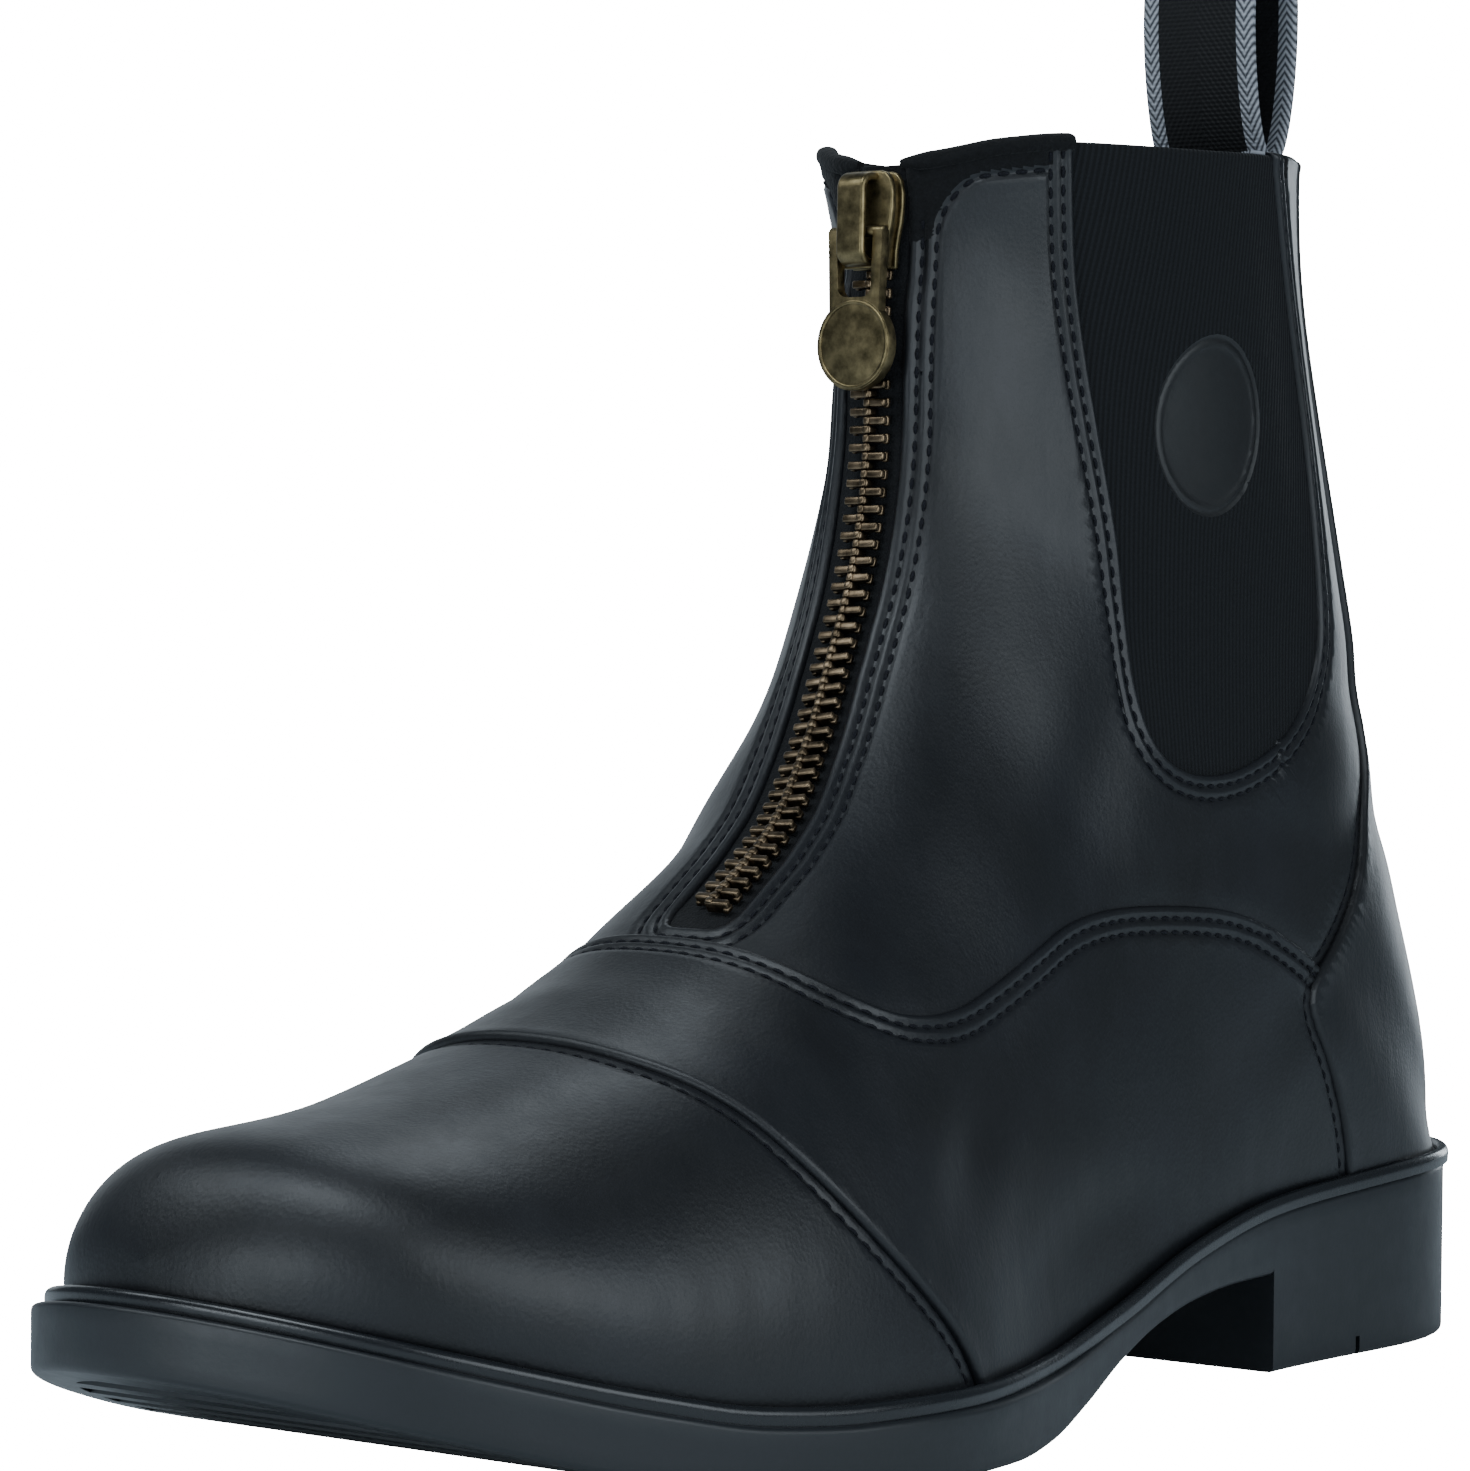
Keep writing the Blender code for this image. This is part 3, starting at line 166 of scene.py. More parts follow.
def natural(xs, ys):
    """A natural cubic spline through a table, for the curves where a highlight would show a kink."""
    xs = np.asarray(xs, float)
    ys = np.asarray(ys, float)
    step = np.diff(xs)
    count = len(xs)
    matrix = np.eye(count)
    right = np.zeros(count)
    for i in range(1, count - 1):
        matrix[i, i - 1 : i + 2] = step[i - 1], 2 * (step[i - 1] + step[i]), step[i]
        right[i] = 6 * ((ys[i + 1] - ys[i]) / step[i] - (ys[i] - ys[i - 1]) / step[i - 1])
    bend = np.linalg.solve(matrix, right)

    def value(x):
        x = np.asarray(x, float)
        k = np.clip(np.searchsorted(xs, x) - 1, 0, count - 2)
        a = (xs[k + 1] - x) / step[k]
        b = (x - xs[k]) / step[k]
        curved = (a**3 - a) * bend[k] + (b**3 - b) * bend[k + 1]
        return a * ys[k] + b * ys[k + 1] + curved * step[k] ** 2 / 6

    return value


# Plan outline of the sole: station from heel to toe as a share of the length, and the reach to each side
# as a share of the ball width.
PLAN = [
    # station, lateral, medial
    (0.022, 0.172, 0.160),
    (0.085, 0.273, 0.278),
    (0.170, 0.296, 0.308),
    (0.265, 0.314, 0.310),
    (0.360, 0.362, 0.307),
    (0.460, 0.430, 0.328),
    (0.560, 0.512, 0.374),
    (0.660, 0.568, 0.417),
    (0.750, 0.543, 0.431),
    (0.840, 0.482, 0.414),
    (0.920, 0.367, 0.362),
    (0.972, 0.200, 0.272),
]
TOE_SIDE = -0.035
TOE_SIDE_FADE = 0.35

# Heights along the sole, as shares of HEEL_RISE and TOE_SPRING.
TOP_RISE = [(0.0, 1.0), (0.1, 0.965), (0.18, 0.900), (0.265, 0.810), (0.36, 0.605), (0.46, 0.275), (0.56, 0.050),
            (0.64, 0.0), (0.70, 0.0), (1.0, 0.0)]
WAIST_RISE = [(0.262, 0.800), (0.31, 0.795), (0.36, 0.755), (0.41, 0.650), (0.46, 0.470), (0.51, 0.235),
              (0.56, 0.055), (0.60, 0.0), (0.625, 0.0), (1.0, 0.0)]
TOE_RISE = [(0.0, 0.0), (0.72, 0.0), (0.78, 0.060), (0.84, 0.240), (0.92, 0.580), (1.0, 1.0)]

top_rise = monotone(*zip(*TOP_RISE))
waist_rise = monotone(*zip(*WAIST_RISE))
toe_rise = monotone(*zip(*TOE_RISE))


def plan_points(count=240):
    """The sole's outline as (x, u) from the toe round the lateral side, the heel and the medial side."""
    side = [(TOE_SIDE * BALL_WIDTH, SOLE_LENGTH)]
    side += [(row[1] * BALL_WIDTH, row[0] * SOLE_LENGTH) for row in reversed(PLAN)]
    side += [(0.0, 0.0)]
    side += [(-row[2] * BALL_WIDTH, row[0] * SOLE_LENGTH) for row in PLAN]
    loop = np.array(side + side[:3])
    loop = np.vstack([np.array(side)[-3:], loop])
    run = run_along(loop)
    first, last = run[3], run[3 + len(side)]
    at = np.linspace(first, last, count, endpoint=False)
    return np.stack([natural(run, loop[:, 0])(at), natural(run, loop[:, 1])(at)], 1)


OUTLINE = plan_points()
MIDDLE_X = (OUTLINE[:, 0].max() + OUTLINE[:, 0].min()) / 2
TOE_INDEX = int(OUTLINE[:, 1].argmax())
HEEL_INDEX = int(OUTLINE[:, 1].argmin())


def offset_outline(inset):
    """The plan outline moved in by a distance that may change along the length."""
    ahead = np.roll(OUTLINE, -1, axis=0) - np.roll(OUTLINE, 1, axis=0)
    normal = np.stack([ahead[:, 1], -ahead[:, 0]], 1)
    normal /= np.hypot(*normal.T)[:, None]
    if (normal * (OUTLINE - OUTLINE.mean(0))).sum() > 0:
        normal = -normal
    return OUTLINE + normal * np.broadcast_to(inset, len(OUTLINE))[:, None]


def to_y(u):
    """Distance forward of the back of the heel, as a world Y."""
    return SOLE_LENGTH / 2 - u


def sole_top(u):
    station = np.asarray(u) / SOLE_LENGTH
    return FOREPART_THICKNESS + HEEL_RISE * top_rise(station) + TOE_SPRING * toe_rise(station)


def sole_bottom(u):
    station = np.asarray(u) / SOLE_LENGTH
    return HEEL_RISE * waist_rise(station) + TOE_SPRING * toe_rise(station)


forepart_share = monotone([0.0, 0.30, 0.44, 0.56, 1.0], [0.0, 0.0, 0.35, 1.0, 1.0])
toe_share = monotone([0.0, 0.70, 0.90, 1.0], [0.0, 0.0, 0.8, 1.0])


def shelf(u):
    """How far the sole's edge stands out past the welt. It is negative where the welt hangs over the heel."""
    station = np.asarray(u) / SOLE_LENGTH
    fore = forepart_share(station)
    return SHELF_WIDTH * fore + TOE_SHELF_EXTRA * toe_share(station) - LIP_OUT * (1 - fore)


def feather_line(side):
    """Where the upper meets the sole on one side: points (x, u) from the toe to the back of the heel."""
    line = offset_outline(shelf(OUTLINE[:, 1]) + WELT_WIDTH + CLEARANCE + VAMP_WALL)
    order = np.arange(len(line))
    if side > 0:
        picked = (TOE_INDEX + order)[: (HEEL_INDEX - TOE_INDEX) % len(line) + 1] % len(line)
    else:
        picked = (TOE_INDEX - order)[: (TOE_INDEX - HEEL_INDEX) % len(line) + 1] % len(line)
    return line[picked]


# Side profile of the upper, a row for each section, from the toe tip over the instep to the collar.
# Each section runs from the ridge, down both sides, to the base: along the feather line (0 at the toe to 1
# at the back of the heel) and then up the back seam (1 to 2).
SECTIONS = [
    # ridge along, ridge high, base, half width, squareness front, squareness back
    (0.9765, 0.1720, 0.000, 0.000, 0.908, 0.900),
    (0.9690, 0.2030, 0.070, 0.000, 0.908, 0.900),
    (0.9510, 0.2380, 0.130, 0.000, 0.902, 0.900),
    (0.9150, 0.2520, 0.195, 0.000, 0.901, 0.900),
    (0.8580, 0.2640, 0.260, 0.000, 0.894, 0.900),
    (0.7860, 0.2910, 0.325, 0.000, 0.862, 0.900),
    (0.7040, 0.3330, 0.395, 0.000, 0.829, 0.900),
    (0.6270, 0.3980, 0.475, 0.000, 0.787, 0.883),
    (0.5610, 0.4740, 0.560, 0.352, 0.805, 0.847),
    (0.5160, 0.5570, 0.650, 0.393, 0.859, 0.814),
    (0.4880, 0.6380, 0.740, 0.422, 0.919, 0.786),
    (0.4750, 0.7120, 0.830, 0.432, 0.966, 0.768),
    (0.4710, 0.7770, 0.920, 0.427, 0.994, 0.763),
    (0.4710, 0.8310, 1.000, 0.417, 1.011, 0.774),
    (0.4700, 0.8770, 1.140, 0.402, 1.022, 0.804),
    (0.4680, 0.9160, 1.300, 0.395, 1.031, 0.843),
    (0.4680, 0.9510, 1.480, 0.400, 1.033, 0.886),
    (0.4710, 0.9840, 1.660, 0.413, 1.022, 0.932),
    (0.4720, 1.0170, 1.840, 0.434, 1.008, 0.968),
    (0.4700, 1.0490, 2.000, 0.454, 0.994, 1.001),
]
# Back seam in side view: height as a share of COLLAR_HEIGHT, and how far it leans forward of the sole's back
# edge as a share of SOLE_LENGTH.
BACK_LINE = [(0.120, -0.0005), (0.195, 0.0163), (0.295, 0.0403), (0.390, 0.0633), (0.510, 0.0860),
             (0.645, 0.1130), (0.785, 0.1384), (0.900, 0.1547), (1.060, 0.1623)]

rows = np.array(SECTIONS)
row_at = np.arange(len(rows), dtype=float)
ridge_along = natural(row_at, rows[:, 0])
ridge_high = natural(row_at, rows[:, 1])
base_at = monotone(row_at, rows[:, 2])
half_width = natural(row_at, rows[:, 3])
square_front = monotone(row_at, rows[:, 4])
square_back = monotone(row_at, rows[:, 5])
back_lean = natural(*zip(*BACK_LINE))
LAST_ROW = len(rows) - 1


def base_point(base, side):
    """The lower end of a section on one side, as x, u and z."""
    line = feather_line(side)
    run = run_along(line)
    share = np.clip(base, 0, 1) * run[-1]
    x = np.interp(share, run, line[:, 0])
    u = np.interp(share, run, line[:, 1])
    z = sole_top(u) - BASE_DROP
    low = sole_top(line[-1, 1]) - BASE_DROP
    high = COLLAR_HEIGHT + COLLAR_SPARE
    up = np.clip(base - 1, 0, 1)
    z_back = low + (high - low) * up
    u_back = SOLE_LENGTH * back_lean(z_back / COLLAR_HEIGHT)
    gap = line[-1, 1] - SOLE_LENGTH * back_lean(low / COLLAR_HEIGHT)
    u_back = u_back + gap * np.exp(-((z_back - low) / (8 * MM)) ** 2)
    behind = base > 1
    return np.where(behind, 0.0, x), np.where(behind, u_back, u), np.where(behind, z_back, z)


def soft_ends():
    """The lower ends of the sections with the turn at the heel's back smoothed out. Inside the panels they
    keep that turn from showing as a line."""
    fine = np.linspace(0, LAST_ROW, 1901)
    base = base_at(fine)
    near = np.exp(-(((fine - PIVOT_ROW) / 2.2) ** 2))[:, None]
    kernel = np.exp(-((np.arange(-120, 121) / 48) ** 2) / 2)
    kernel /= kernel.sum()
    sides = []
    for side in (1, -1):
        exact = np.stack(base_point(base, side), 1)
        padded = np.pad(exact, ((120, 120), (0, 0)), mode="edge")
        soft = np.stack([np.convolve(padded[:, k], kernel, mode="valid") for k in range(3)], 1)
        sides.append(exact + (soft - exact) * near)
    return fine, sides


def upper_points(row, across, offset=0.0):
    """Points of the last for rows (0 toe to LAST_ROW collar) and across (-1 medial to 1 lateral), moved out
    along the surface's normal by offset."""
    row, across = np.broadcast_arrays(np.asarray(row, float), np.asarray(across, float))

    def at(r, a):
        r = np.clip(r, 0, LAST_ROW)
        side = np.where(a >= 0, 1.0, -1.0)
        inside = 1 - np.abs(a) ** 10
        ends = []
        for s, soft in zip((1, -1), SOFT_ENDS[1]):
            exact = base_point(base_at(r), s)
            smooth = [np.interp(r, SOFT_ENDS[0], column) for column in soft.T]
            ends.append([e + (m - e) * inside for e, m in zip(exact, smooth)])
        end_x, end_u, end_z = (np.where(side > 0, p, q) for p, q in zip(*ends))
        axis_x = TOE_SIDE * BALL_WIDTH * np.clip(1 - base_at(r) / TOE_SIDE_FADE, 0, 1) ** 2
        ridge_x = axis_x + RIDGE_SIDE * (ends[0][0] + ends[1][0] - 2 * axis_x)
        reach = np.clip(side * (end_x - axis_x), 0, None)
        half = half_width(r) * ANKLE_WIDTH
        widest = (reach**8 + np.clip(half, 0, None) ** 8) ** 0.125 + 1e-9
        power_low = square_back(r)
        power_top = square_front(r)
        last_angle = math.pi - np.arcsin(np.clip(reach / widest, 0, 1) ** (1 / power_low))
        angle = np.abs(a) * last_angle
        power = np.where(angle < math.pi / 2, power_top, power_low)
        sine = np.clip(np.sin(angle), 0, 1) ** power
        cosine = np.sign(np.cos(angle)) * np.abs(np.cos(angle)) ** power
        last_cosine = np.sign(np.cos(last_angle)) * np.abs(np.cos(last_angle)) ** power_low
        down = (1 - cosine) / (1 - last_cosine)
        centre = np.where(angle < math.pi / 2, ridge_x, axis_x)
        x = centre + (axis_x + side * widest - centre) * sine
        ridge_u = ridge_along(r) * SOLE_LENGTH
        ridge_z = ridge_high(r) * COLLAR_HEIGHT
        u = ridge_u + (end_u - ridge_u) * down
        z = ridge_z + (end_z - ridge_z) * down
        return np.stack([x - MIDDLE_X, to_y(u), z], -1)

    points = at(row, across)
    if not np.any(offset):
        return points
    small = 0.02
    low = np.clip(row, small, LAST_ROW - small)
    along = at(low + small, across) - at(low - small, across)
    inner = np.clip(across, -1 + small, 1 - small)
    round_it = at(low, inner + small) - at(low, inner - small)
    normal = np.cross(round_it, along)
    length = np.linalg.norm(normal, axis=-1, keepdims=True)
    normal = normal / np.maximum(length, 1e-12)
    return points + normal * np.asarray(offset)[..., None]


# Seams in side view: shares of SOLE_LENGTH forward of the heel and of COLLAR_HEIGHT above the floor.
CAP_SEAM = [
    # along, high
    (0.7600, 0.4000),
    (0.7620, 0.3140),
    (0.7640, 0.3050),
    (0.7517, 0.2797),
    (0.7273, 0.2319),
    (0.7098, 0.1968),
    (0.6853, 0.1564),
    (0.6524, 0.1096),
    (0.6283, 0.0628),
    (0.6150, -0.0400),
]
WAVE_SEAM = [
    # along, high
    (0.6750, 0.5000),
    (0.6660, 0.4100),
    (0.6625, 0.3850),
    (0.6514, 0.3590),
    (0.6353, 0.3324),
    (0.6028, 0.3181),
    (0.5657, 0.3223),
    (0.5196, 0.3447),
    (0.4570, 0.3777),
    (0.3983, 0.3894),
    (0.3462, 0.3883),
    (0.3007, 0.3803),
    (0.2329, 0.3436),
    (0.1400, 0.2700),
]
BACK_SEAM = [
    # along, high
    (0.2000, 1.1000),
    (0.1900, 0.9500),
    (0.1740, 0.8000),
    (0.1590, 0.6800),
    (0.1460, 0.5900),
    (0.1380, 0.5000),
    (0.1672, 0.4005),
    (0.2046, 0.3413),
    (0.2287, 0.3064),
    (0.2162, 0.2621),
    (0.1997, 0.2220),
    (0.1799, 0.1531),
    (0.1720, 0.0200),
]
GORE_EDGE = [
    # along, high: down the front edge, round the bottom and up the rear edge
    (0.4200, 1.0900),
    (0.4126, 0.9950),
    (0.3864, 0.7930),
    (0.3759, 0.6984),
    (0.3709, 0.6020),
    (0.3690, 0.5480),
    (0.3600, 0.5130),
    (0.3391, 0.4960),
    (0.3150, 0.4915),
    (0.2900, 0.4950),
    (0.2608, 0.5080),
    (0.2343, 0.5266),
    (0.2130, 0.5527),
    (0.2000, 0.5850),
    (0.1955, 0.6220),
    (0.1970, 0.6700),
    (0.2060, 0.7660),
    (0.2330, 0.8900),
    (0.2601, 1.0030),
    (0.2800, 1.0900),
]
# Collar line in side view.
COLLAR_LINE = [
    # along, high
    (0.1000, 1.0080),
    (0.2600, 1.0030),
    (0.3500, 0.9990),
    (0.4150, 0.9985),
    (0.4450, 0.9930),
    (0.4700, 0.9810),
    (0.5200, 0.9700),
]
# Centre of the zip in front view: share of COLLAR_HEIGHT, and share of ANKLE_WIDTH to the leg's lateral side.
ZIP_LINE = [(0.380, 0.130), (0.430, 0.120), (0.505, 0.065), (0.600, 0.015), (0.700, 0.003), (0.850, 0.0),
            (1.100, 0.0)]
# The opening's lower end is drawn a little lower than in the solid, where the photo shows it.
ZIP_LOW = 0.378
SLIDER_AT = 0.931
HINGE_AT = 0.921

zip_side = monotone(*zip(*ZIP_LINE))
collar_high = monotone(*zip(*COLLAR_LINE))
PIVOT_ROW = 13.0
SOFT_ENDS = soft_ends()


def smooth_line(table, count):
    """A smooth open curve through a side-view table, as world (y, z)."""
    points = np.array([(to_y(u * SOLE_LENGTH), z * COLLAR_HEIGHT) for u, z in table])
    run = run_along(points)
    at = np.linspace(0, run[-1], count)
    return np.stack([natural(run, points[:, 0])(at), natural(run, points[:, 1])(at)], 1)


def side_reach(line, side, u):
    """How far an outline reaches to one side at the stations u."""
    order = np.arange(len(line))
    tip = int(line[:, 1].argmax())
    back = int(line[:, 1].argmin())
    if side > 0:
        picked = (back - order)[: (back - tip) % len(line) + 1] % len(line)
    else:
        picked = (back + order)[: (tip - back) % len(line) + 1] % len(line)
    return np.interp(u, line[picked, 1], line[picked, 0])


def stations(line, count, start=None, end=None, stop=None):
    """Stations along an outline, closer together at its round ends. One of them falls on stop."""
    low = line[:, 1].min() if start is None else start
    high = line[:, 1].max() if end is None else end
    if stop is None:
        angle = np.linspace(0, math.pi, count)
    else:
        middle = math.acos(1 - 2 * (stop - low) / (high - low))
        first = max(3, int(round(count * middle / math.pi)))
        rest = np.linspace(middle, math.pi, count - first + 1)[1:]
        angle = np.concatenate([np.linspace(0, middle, first), rest])
    return low + (high - low) * (1 - np.cos(angle)) / 2


def ladder_points(line, u, high):
    """Lateral and medial points of an outline at stations u and heights high, in world coordinates."""
    sides = []
    for side in (1, -1):
        x = side_reach(line, side, u) - MIDDLE_X
        sides.append(np.stack([x, to_y(u), np.broadcast_to(high, u.shape)], 1))
    return sides


def zip_slot():
    """Front view of the zip's opening, as (x, z)."""
    half = ZIP_SLOT_WIDTH / 2
    low = ZIP_LOW * COLLAR_HEIGHT
    radius = ZIP_END_RADIUS
    top = COLLAR_HEIGHT * 1.2
    heights = list(low + radius * (1 - np.cos(np.linspace(0.15, math.pi / 2, 6))))
    heights += list(np.linspace(low + radius, top, 24)[1:])
    right = []
    left = []
    for z in heights:
        middle = zip_side(z / COLLAR_HEIGHT) * ANKLE_WIDTH - MIDDLE_X
        rise = min(z - low, radius)
        reach = half - radius + math.sqrt(max(radius**2 - (radius - rise) ** 2, 0))
        right.append((middle + reach, z))
        left.append((middle - reach, z))
    return right + left[::-1]


def zip_frame(high, offset):
    """Point, sideways, downward and outward directions on the zip's centre line at given heights."""
    row = np.linspace(5.5, LAST_ROW - 0.1, 400)
    low_a = np.full(row.shape, -0.35)
    high_a = np.full(row.shape, 0.35)
    for _ in range(30):
        middle = (low_a + high_a) / 2
        points = upper_points(row, middle, 0.0)
        target = zip_side(points[:, 2] / COLLAR_HEIGHT) * ANKLE_WIDTH - MIDDLE_X
        past = points[:, 0] > target
        high_a = np.where(past, middle, high_a)
        low_a = np.where(past, low_a, middle)
    middle = (low_a + high_a) / 2
    points = upper_points(row, middle, 0.0)
    outward = (upper_points(row, middle, 1 * MM) - points) / MM
    high = np.atleast_1d(high)
    order = np.argsort(points[:, 2])
    points = points[order]
    at = read_off(high, points[:, 2], points)
    out = read_off(high, points[:, 2], outward[order])
    step = 1.5 * MM
    down = read_off(high - step, points[:, 2], points) - read_off(high + step, points[:, 2], points)
    down /= np.linalg.norm(down, axis=1)[:, None]
    sideways = np.cross(down, out)
    sideways /= np.linalg.norm(sideways, axis=1)[:, None]
    out = np.cross(sideways, down)
    return at + out * offset, sideways, down, out


def local_matrix(high, offset):
    """Maps (sideways, down, outward) at a height on the zip's line to the world."""
    at, sideways, down, out = (part[0] for part in zip_frame(high, offset))
    matrix = Matrix.Identity(4)
    for column, direction in enumerate((sideways, down, out)):
        for k in range(3):
            matrix[k][column] = direction[k]
    for k in range(3):
        matrix[k][3] = at[k]
    return matrix


# Patches of the last's surface. Each holds a table with a row for each point: its place and its distances to
# the seams, in the columns named here, and the triangles between the points.
ROW, ACROSS, CAP, WAVE, BACK, GORE, ZIP, COLLAR, OVAL, CORNER = range(10)

# The quarter's outer row of stitches: in from the zip, below the collar, and the round between the two.
CORNER_IN = 4.3 * MM
CORNER_UNDER = 4.6 * MM
CORNER_RADIUS = 9 * MM
FACING_LOW = 13 * MM
OVAL_ALONG = 87 * MM
OVAL_HIGH = 146 * MM
OVAL_SIZE = (12.0 * MM, 14.0 * MM)


def even_across(row, share):
    """The across values, from ridge to base, that lie an even step apart down the side of a section."""
    result = np.zeros((2, len(row), len(share)))
    axis_x = TOE_SIDE * BALL_WIDTH * np.clip(1 - base_at(row) / TOE_SIDE_FADE, 0, 1) ** 2
    half = half_width(row) * ANKLE_WIDTH
    for k, side in enumerate((1, -1)):
        reach = np.abs(base_point(base_at(row), side)[0] - axis_x)
        widest = (reach**8 + np.clip(half, 0, None) ** 8) ** 0.125 + 1e-9
        low, top = square_back(row)[:, None], square_front(row)[:, None]
        last = math.pi - np.arcsin(np.clip(reach / widest, 0, 1)[:, None] ** (1 / low))
        last_turn = np.arccos(np.clip(np.sign(np.cos(last)) * np.abs(np.cos(last)) ** low, -1, 1))
        cosine = np.cos(share[None] * last_turn)
        power = np.where(cosine > 0, top, low)
        angle = np.arccos(np.clip(np.sign(cosine) * np.abs(cosine) ** (1 / power), -1, 1))
        result[k] = np.clip(angle / last, 0, 1)
        result[k, :, -1] = 1.0
    return result


def line_distance(points, line, normals, plane):
    """Signed distance along the surface to a line seen in one plane. It is positive on the line's left."""
    start = line[:-1]
    run = np.diff(line, axis=0)
    length = (run**2).sum(1)
    flat = points[:, plane]
    result = np.empty(len(flat))
    for low in range(0, len(flat), 6000):
        part = flat[low : low + 6000]
        away = part[:, None] - start[None]
        t = np.clip((away * run).sum(2) / length, 0, 1)
        off = away - t[..., None] * run
        distance = np.hypot(off[..., 0], off[..., 1])
        nearest = distance.argmin(1)
        pick = np.arange(len(part)), nearest
        off = off[pick]
        distance = distance[pick]
        side = run[nearest, 0] * off[:, 1] - run[nearest, 1] * off[:, 0]
        unit = off / np.maximum(distance, 1e-9)[:, None]
        tilt = (unit * normals[low : low + 6000][:, plane]).sum(1)
        result[low : low + 6000] = np.sign(side) * distance / np.sqrt(np.clip(1 - tilt**2, 0.12, 1))
    return result


def whole_surface():
    """The table and triangles of the whole last."""
    high_rows = np.linspace(PIVOT_ROW, LAST_ROW, ROWS_HIGH)[1:]
    rows = np.concatenate([np.linspace(0, PIVOT_ROW, ROWS_LOW), high_rows])
    lateral, medial = even_across(rows, np.linspace(0, 1, STEPS_ACROSS))
    across = np.concatenate([-medial[:, :0:-1], lateral], 1)
    row = np.repeat(rows, across.shape[1])
    across = across.ravel()
    index = np.arange(len(row)).reshape(len(rows), -1)
    a, b, c, d = index[:-1, :-1], index[:-1, 1:], index[1:, 1:], index[1:, :-1]
    halves = np.stack([a, b, c], -1), np.stack([a, c, d], -1)
    triangles = np.concatenate([half.reshape(-1, 3) for half in halves])
    points = upper_points(row, across)
    normals = (upper_points(row, across, 1 * MM) - points) / MM
    table = np.zeros((len(row), 10))
    table[:, ROW] = row
    table[:, ACROSS] = across
    side_view = [1, 2]
    front_view = [0, 2]
    for column, seam in ((CAP, CAP_SEAM), (WAVE, WAVE_SEAM), (BACK, BACK_SEAM), (GORE, GORE_EDGE)):
        table[:, column] = line_distance(points, smooth_line(seam, SEAM_POINTS), normals, side_view)
    slot = np.array(zip_slot())
    slot[:, 0] += ZIP_CUT_SIDE
    right = len(slot) // 2
    slot = np.concatenate([slot[:right][::-1], slot[right:][::-1]])
    table[:, ZIP] = line_distance(points, slot, normals, front_view)
    table[:, ZIP] = np.where(abs(across) > 0.5, FAR, table[:, ZIP])
    along = (SOLE_LENGTH / 2 - points[:, 1]) / SOLE_LENGTH
    table[:, COLLAR] = collar_high(along) * COLLAR_HEIGHT - points[:, 2]
    from_oval = points[:, 1:] - [to_y(OVAL_ALONG), OVAL_HIGH]
    reach = np.hypot(*(from_oval / OVAL_SIZE).T)
    table[:, OVAL] = (reach - 1) * OVAL_SIZE[0]
    from_zip = np.clip(CORNER_RADIUS + CORNER_IN - table[:, ZIP], 0, None)
    from_top = np.clip(CORNER_RADIUS + CORNER_UNDER - table[:, COLLAR], 0, None)
    table[:, CORNER] = np.where(abs(across) > 0.8, FAR, CORNER_RADIUS - np.hypot(from_zip, from_top))
    return table, triangles


def split(table, triangles, value):
    """Splits the triangles that the zero line of value crosses. New points get every column as well."""
    positive = value > 0
    count = positive[triangles].sum(1)
    crossed = (count == 1) | (count == 2)
    some = triangles[crossed]
    if not len(some):
        return table, triangles, value
    sides = positive[some]
    odd = np.where(sides.sum(1) == 1, sides.argmax(1), (~sides).argmax(1))
    some = np.take_along_axis(some, (odd[:, None] + np.arange(3)) % 3, 1)
    lone, second, third = some.T
    edges = np.sort(np.concatenate([np.stack([lone, second], 1), np.stack([lone, third], 1)]), axis=1)
    unique, inverse = np.unique(edges, axis=0, return_inverse=True)
    inverse = inverse.ravel()
    one, two = unique.T
    share = value[one] / (value[one] - value[two])
    added = table[one] * (1 - share)[:, None] + table[two] * share[:, None]
    new = len(table) + inverse
    to_second, to_third = new[: len(some)], new[len(some) :]
    triangles = np.concatenate([
        triangles[~crossed],
        np.stack([lone, to_second, to_third], 1),
        np.stack([to_second, second, third], 1),
        np.stack([to_second, third, to_third], 1),
    ])
    return np.concatenate([table, added]), triangles, np.concatenate([value, np.zeros(len(added))])


def cut_at(patch, column, level):
    """Puts a line of points where a column has a level."""
    table, triangles = patch
    table, triangles, value = split(table, triangles, table[:, column] - level)
    on_line = value == 0
    table[on_line, column] = level
    return table, triangles


def keep(patch, column, level, sign):
    """Keeps the part of a patch where a column lies past a level, on the side that sign names."""
    table, triangles = cut_at(patch, column, level)
    middle = (table[triangles, column] - level).sum(1) * sign
    triangles = triangles[middle > 0]
    used, inverse = np.unique(triangles, return_inverse=True)
    return table[used], inverse.reshape(-1, 3)


SURFACE = whole_surface()

# Cross-section of a panel's edge: where the surface gets lines of points, measured in from the edge.
EDGE_LINES = (0.08 * MM, 0.22 * MM, 0.45 * MM, 0.8 * MM)
EDGE_DEPTH = 0.75 * MM
EDGE_ROUND = 0.8 * MM
ROLL_HEIGHT = 0.22 * MM
STITCH_DEPTH = 0.42 * MM
STITCH_TROUGH = 0.55 * MM


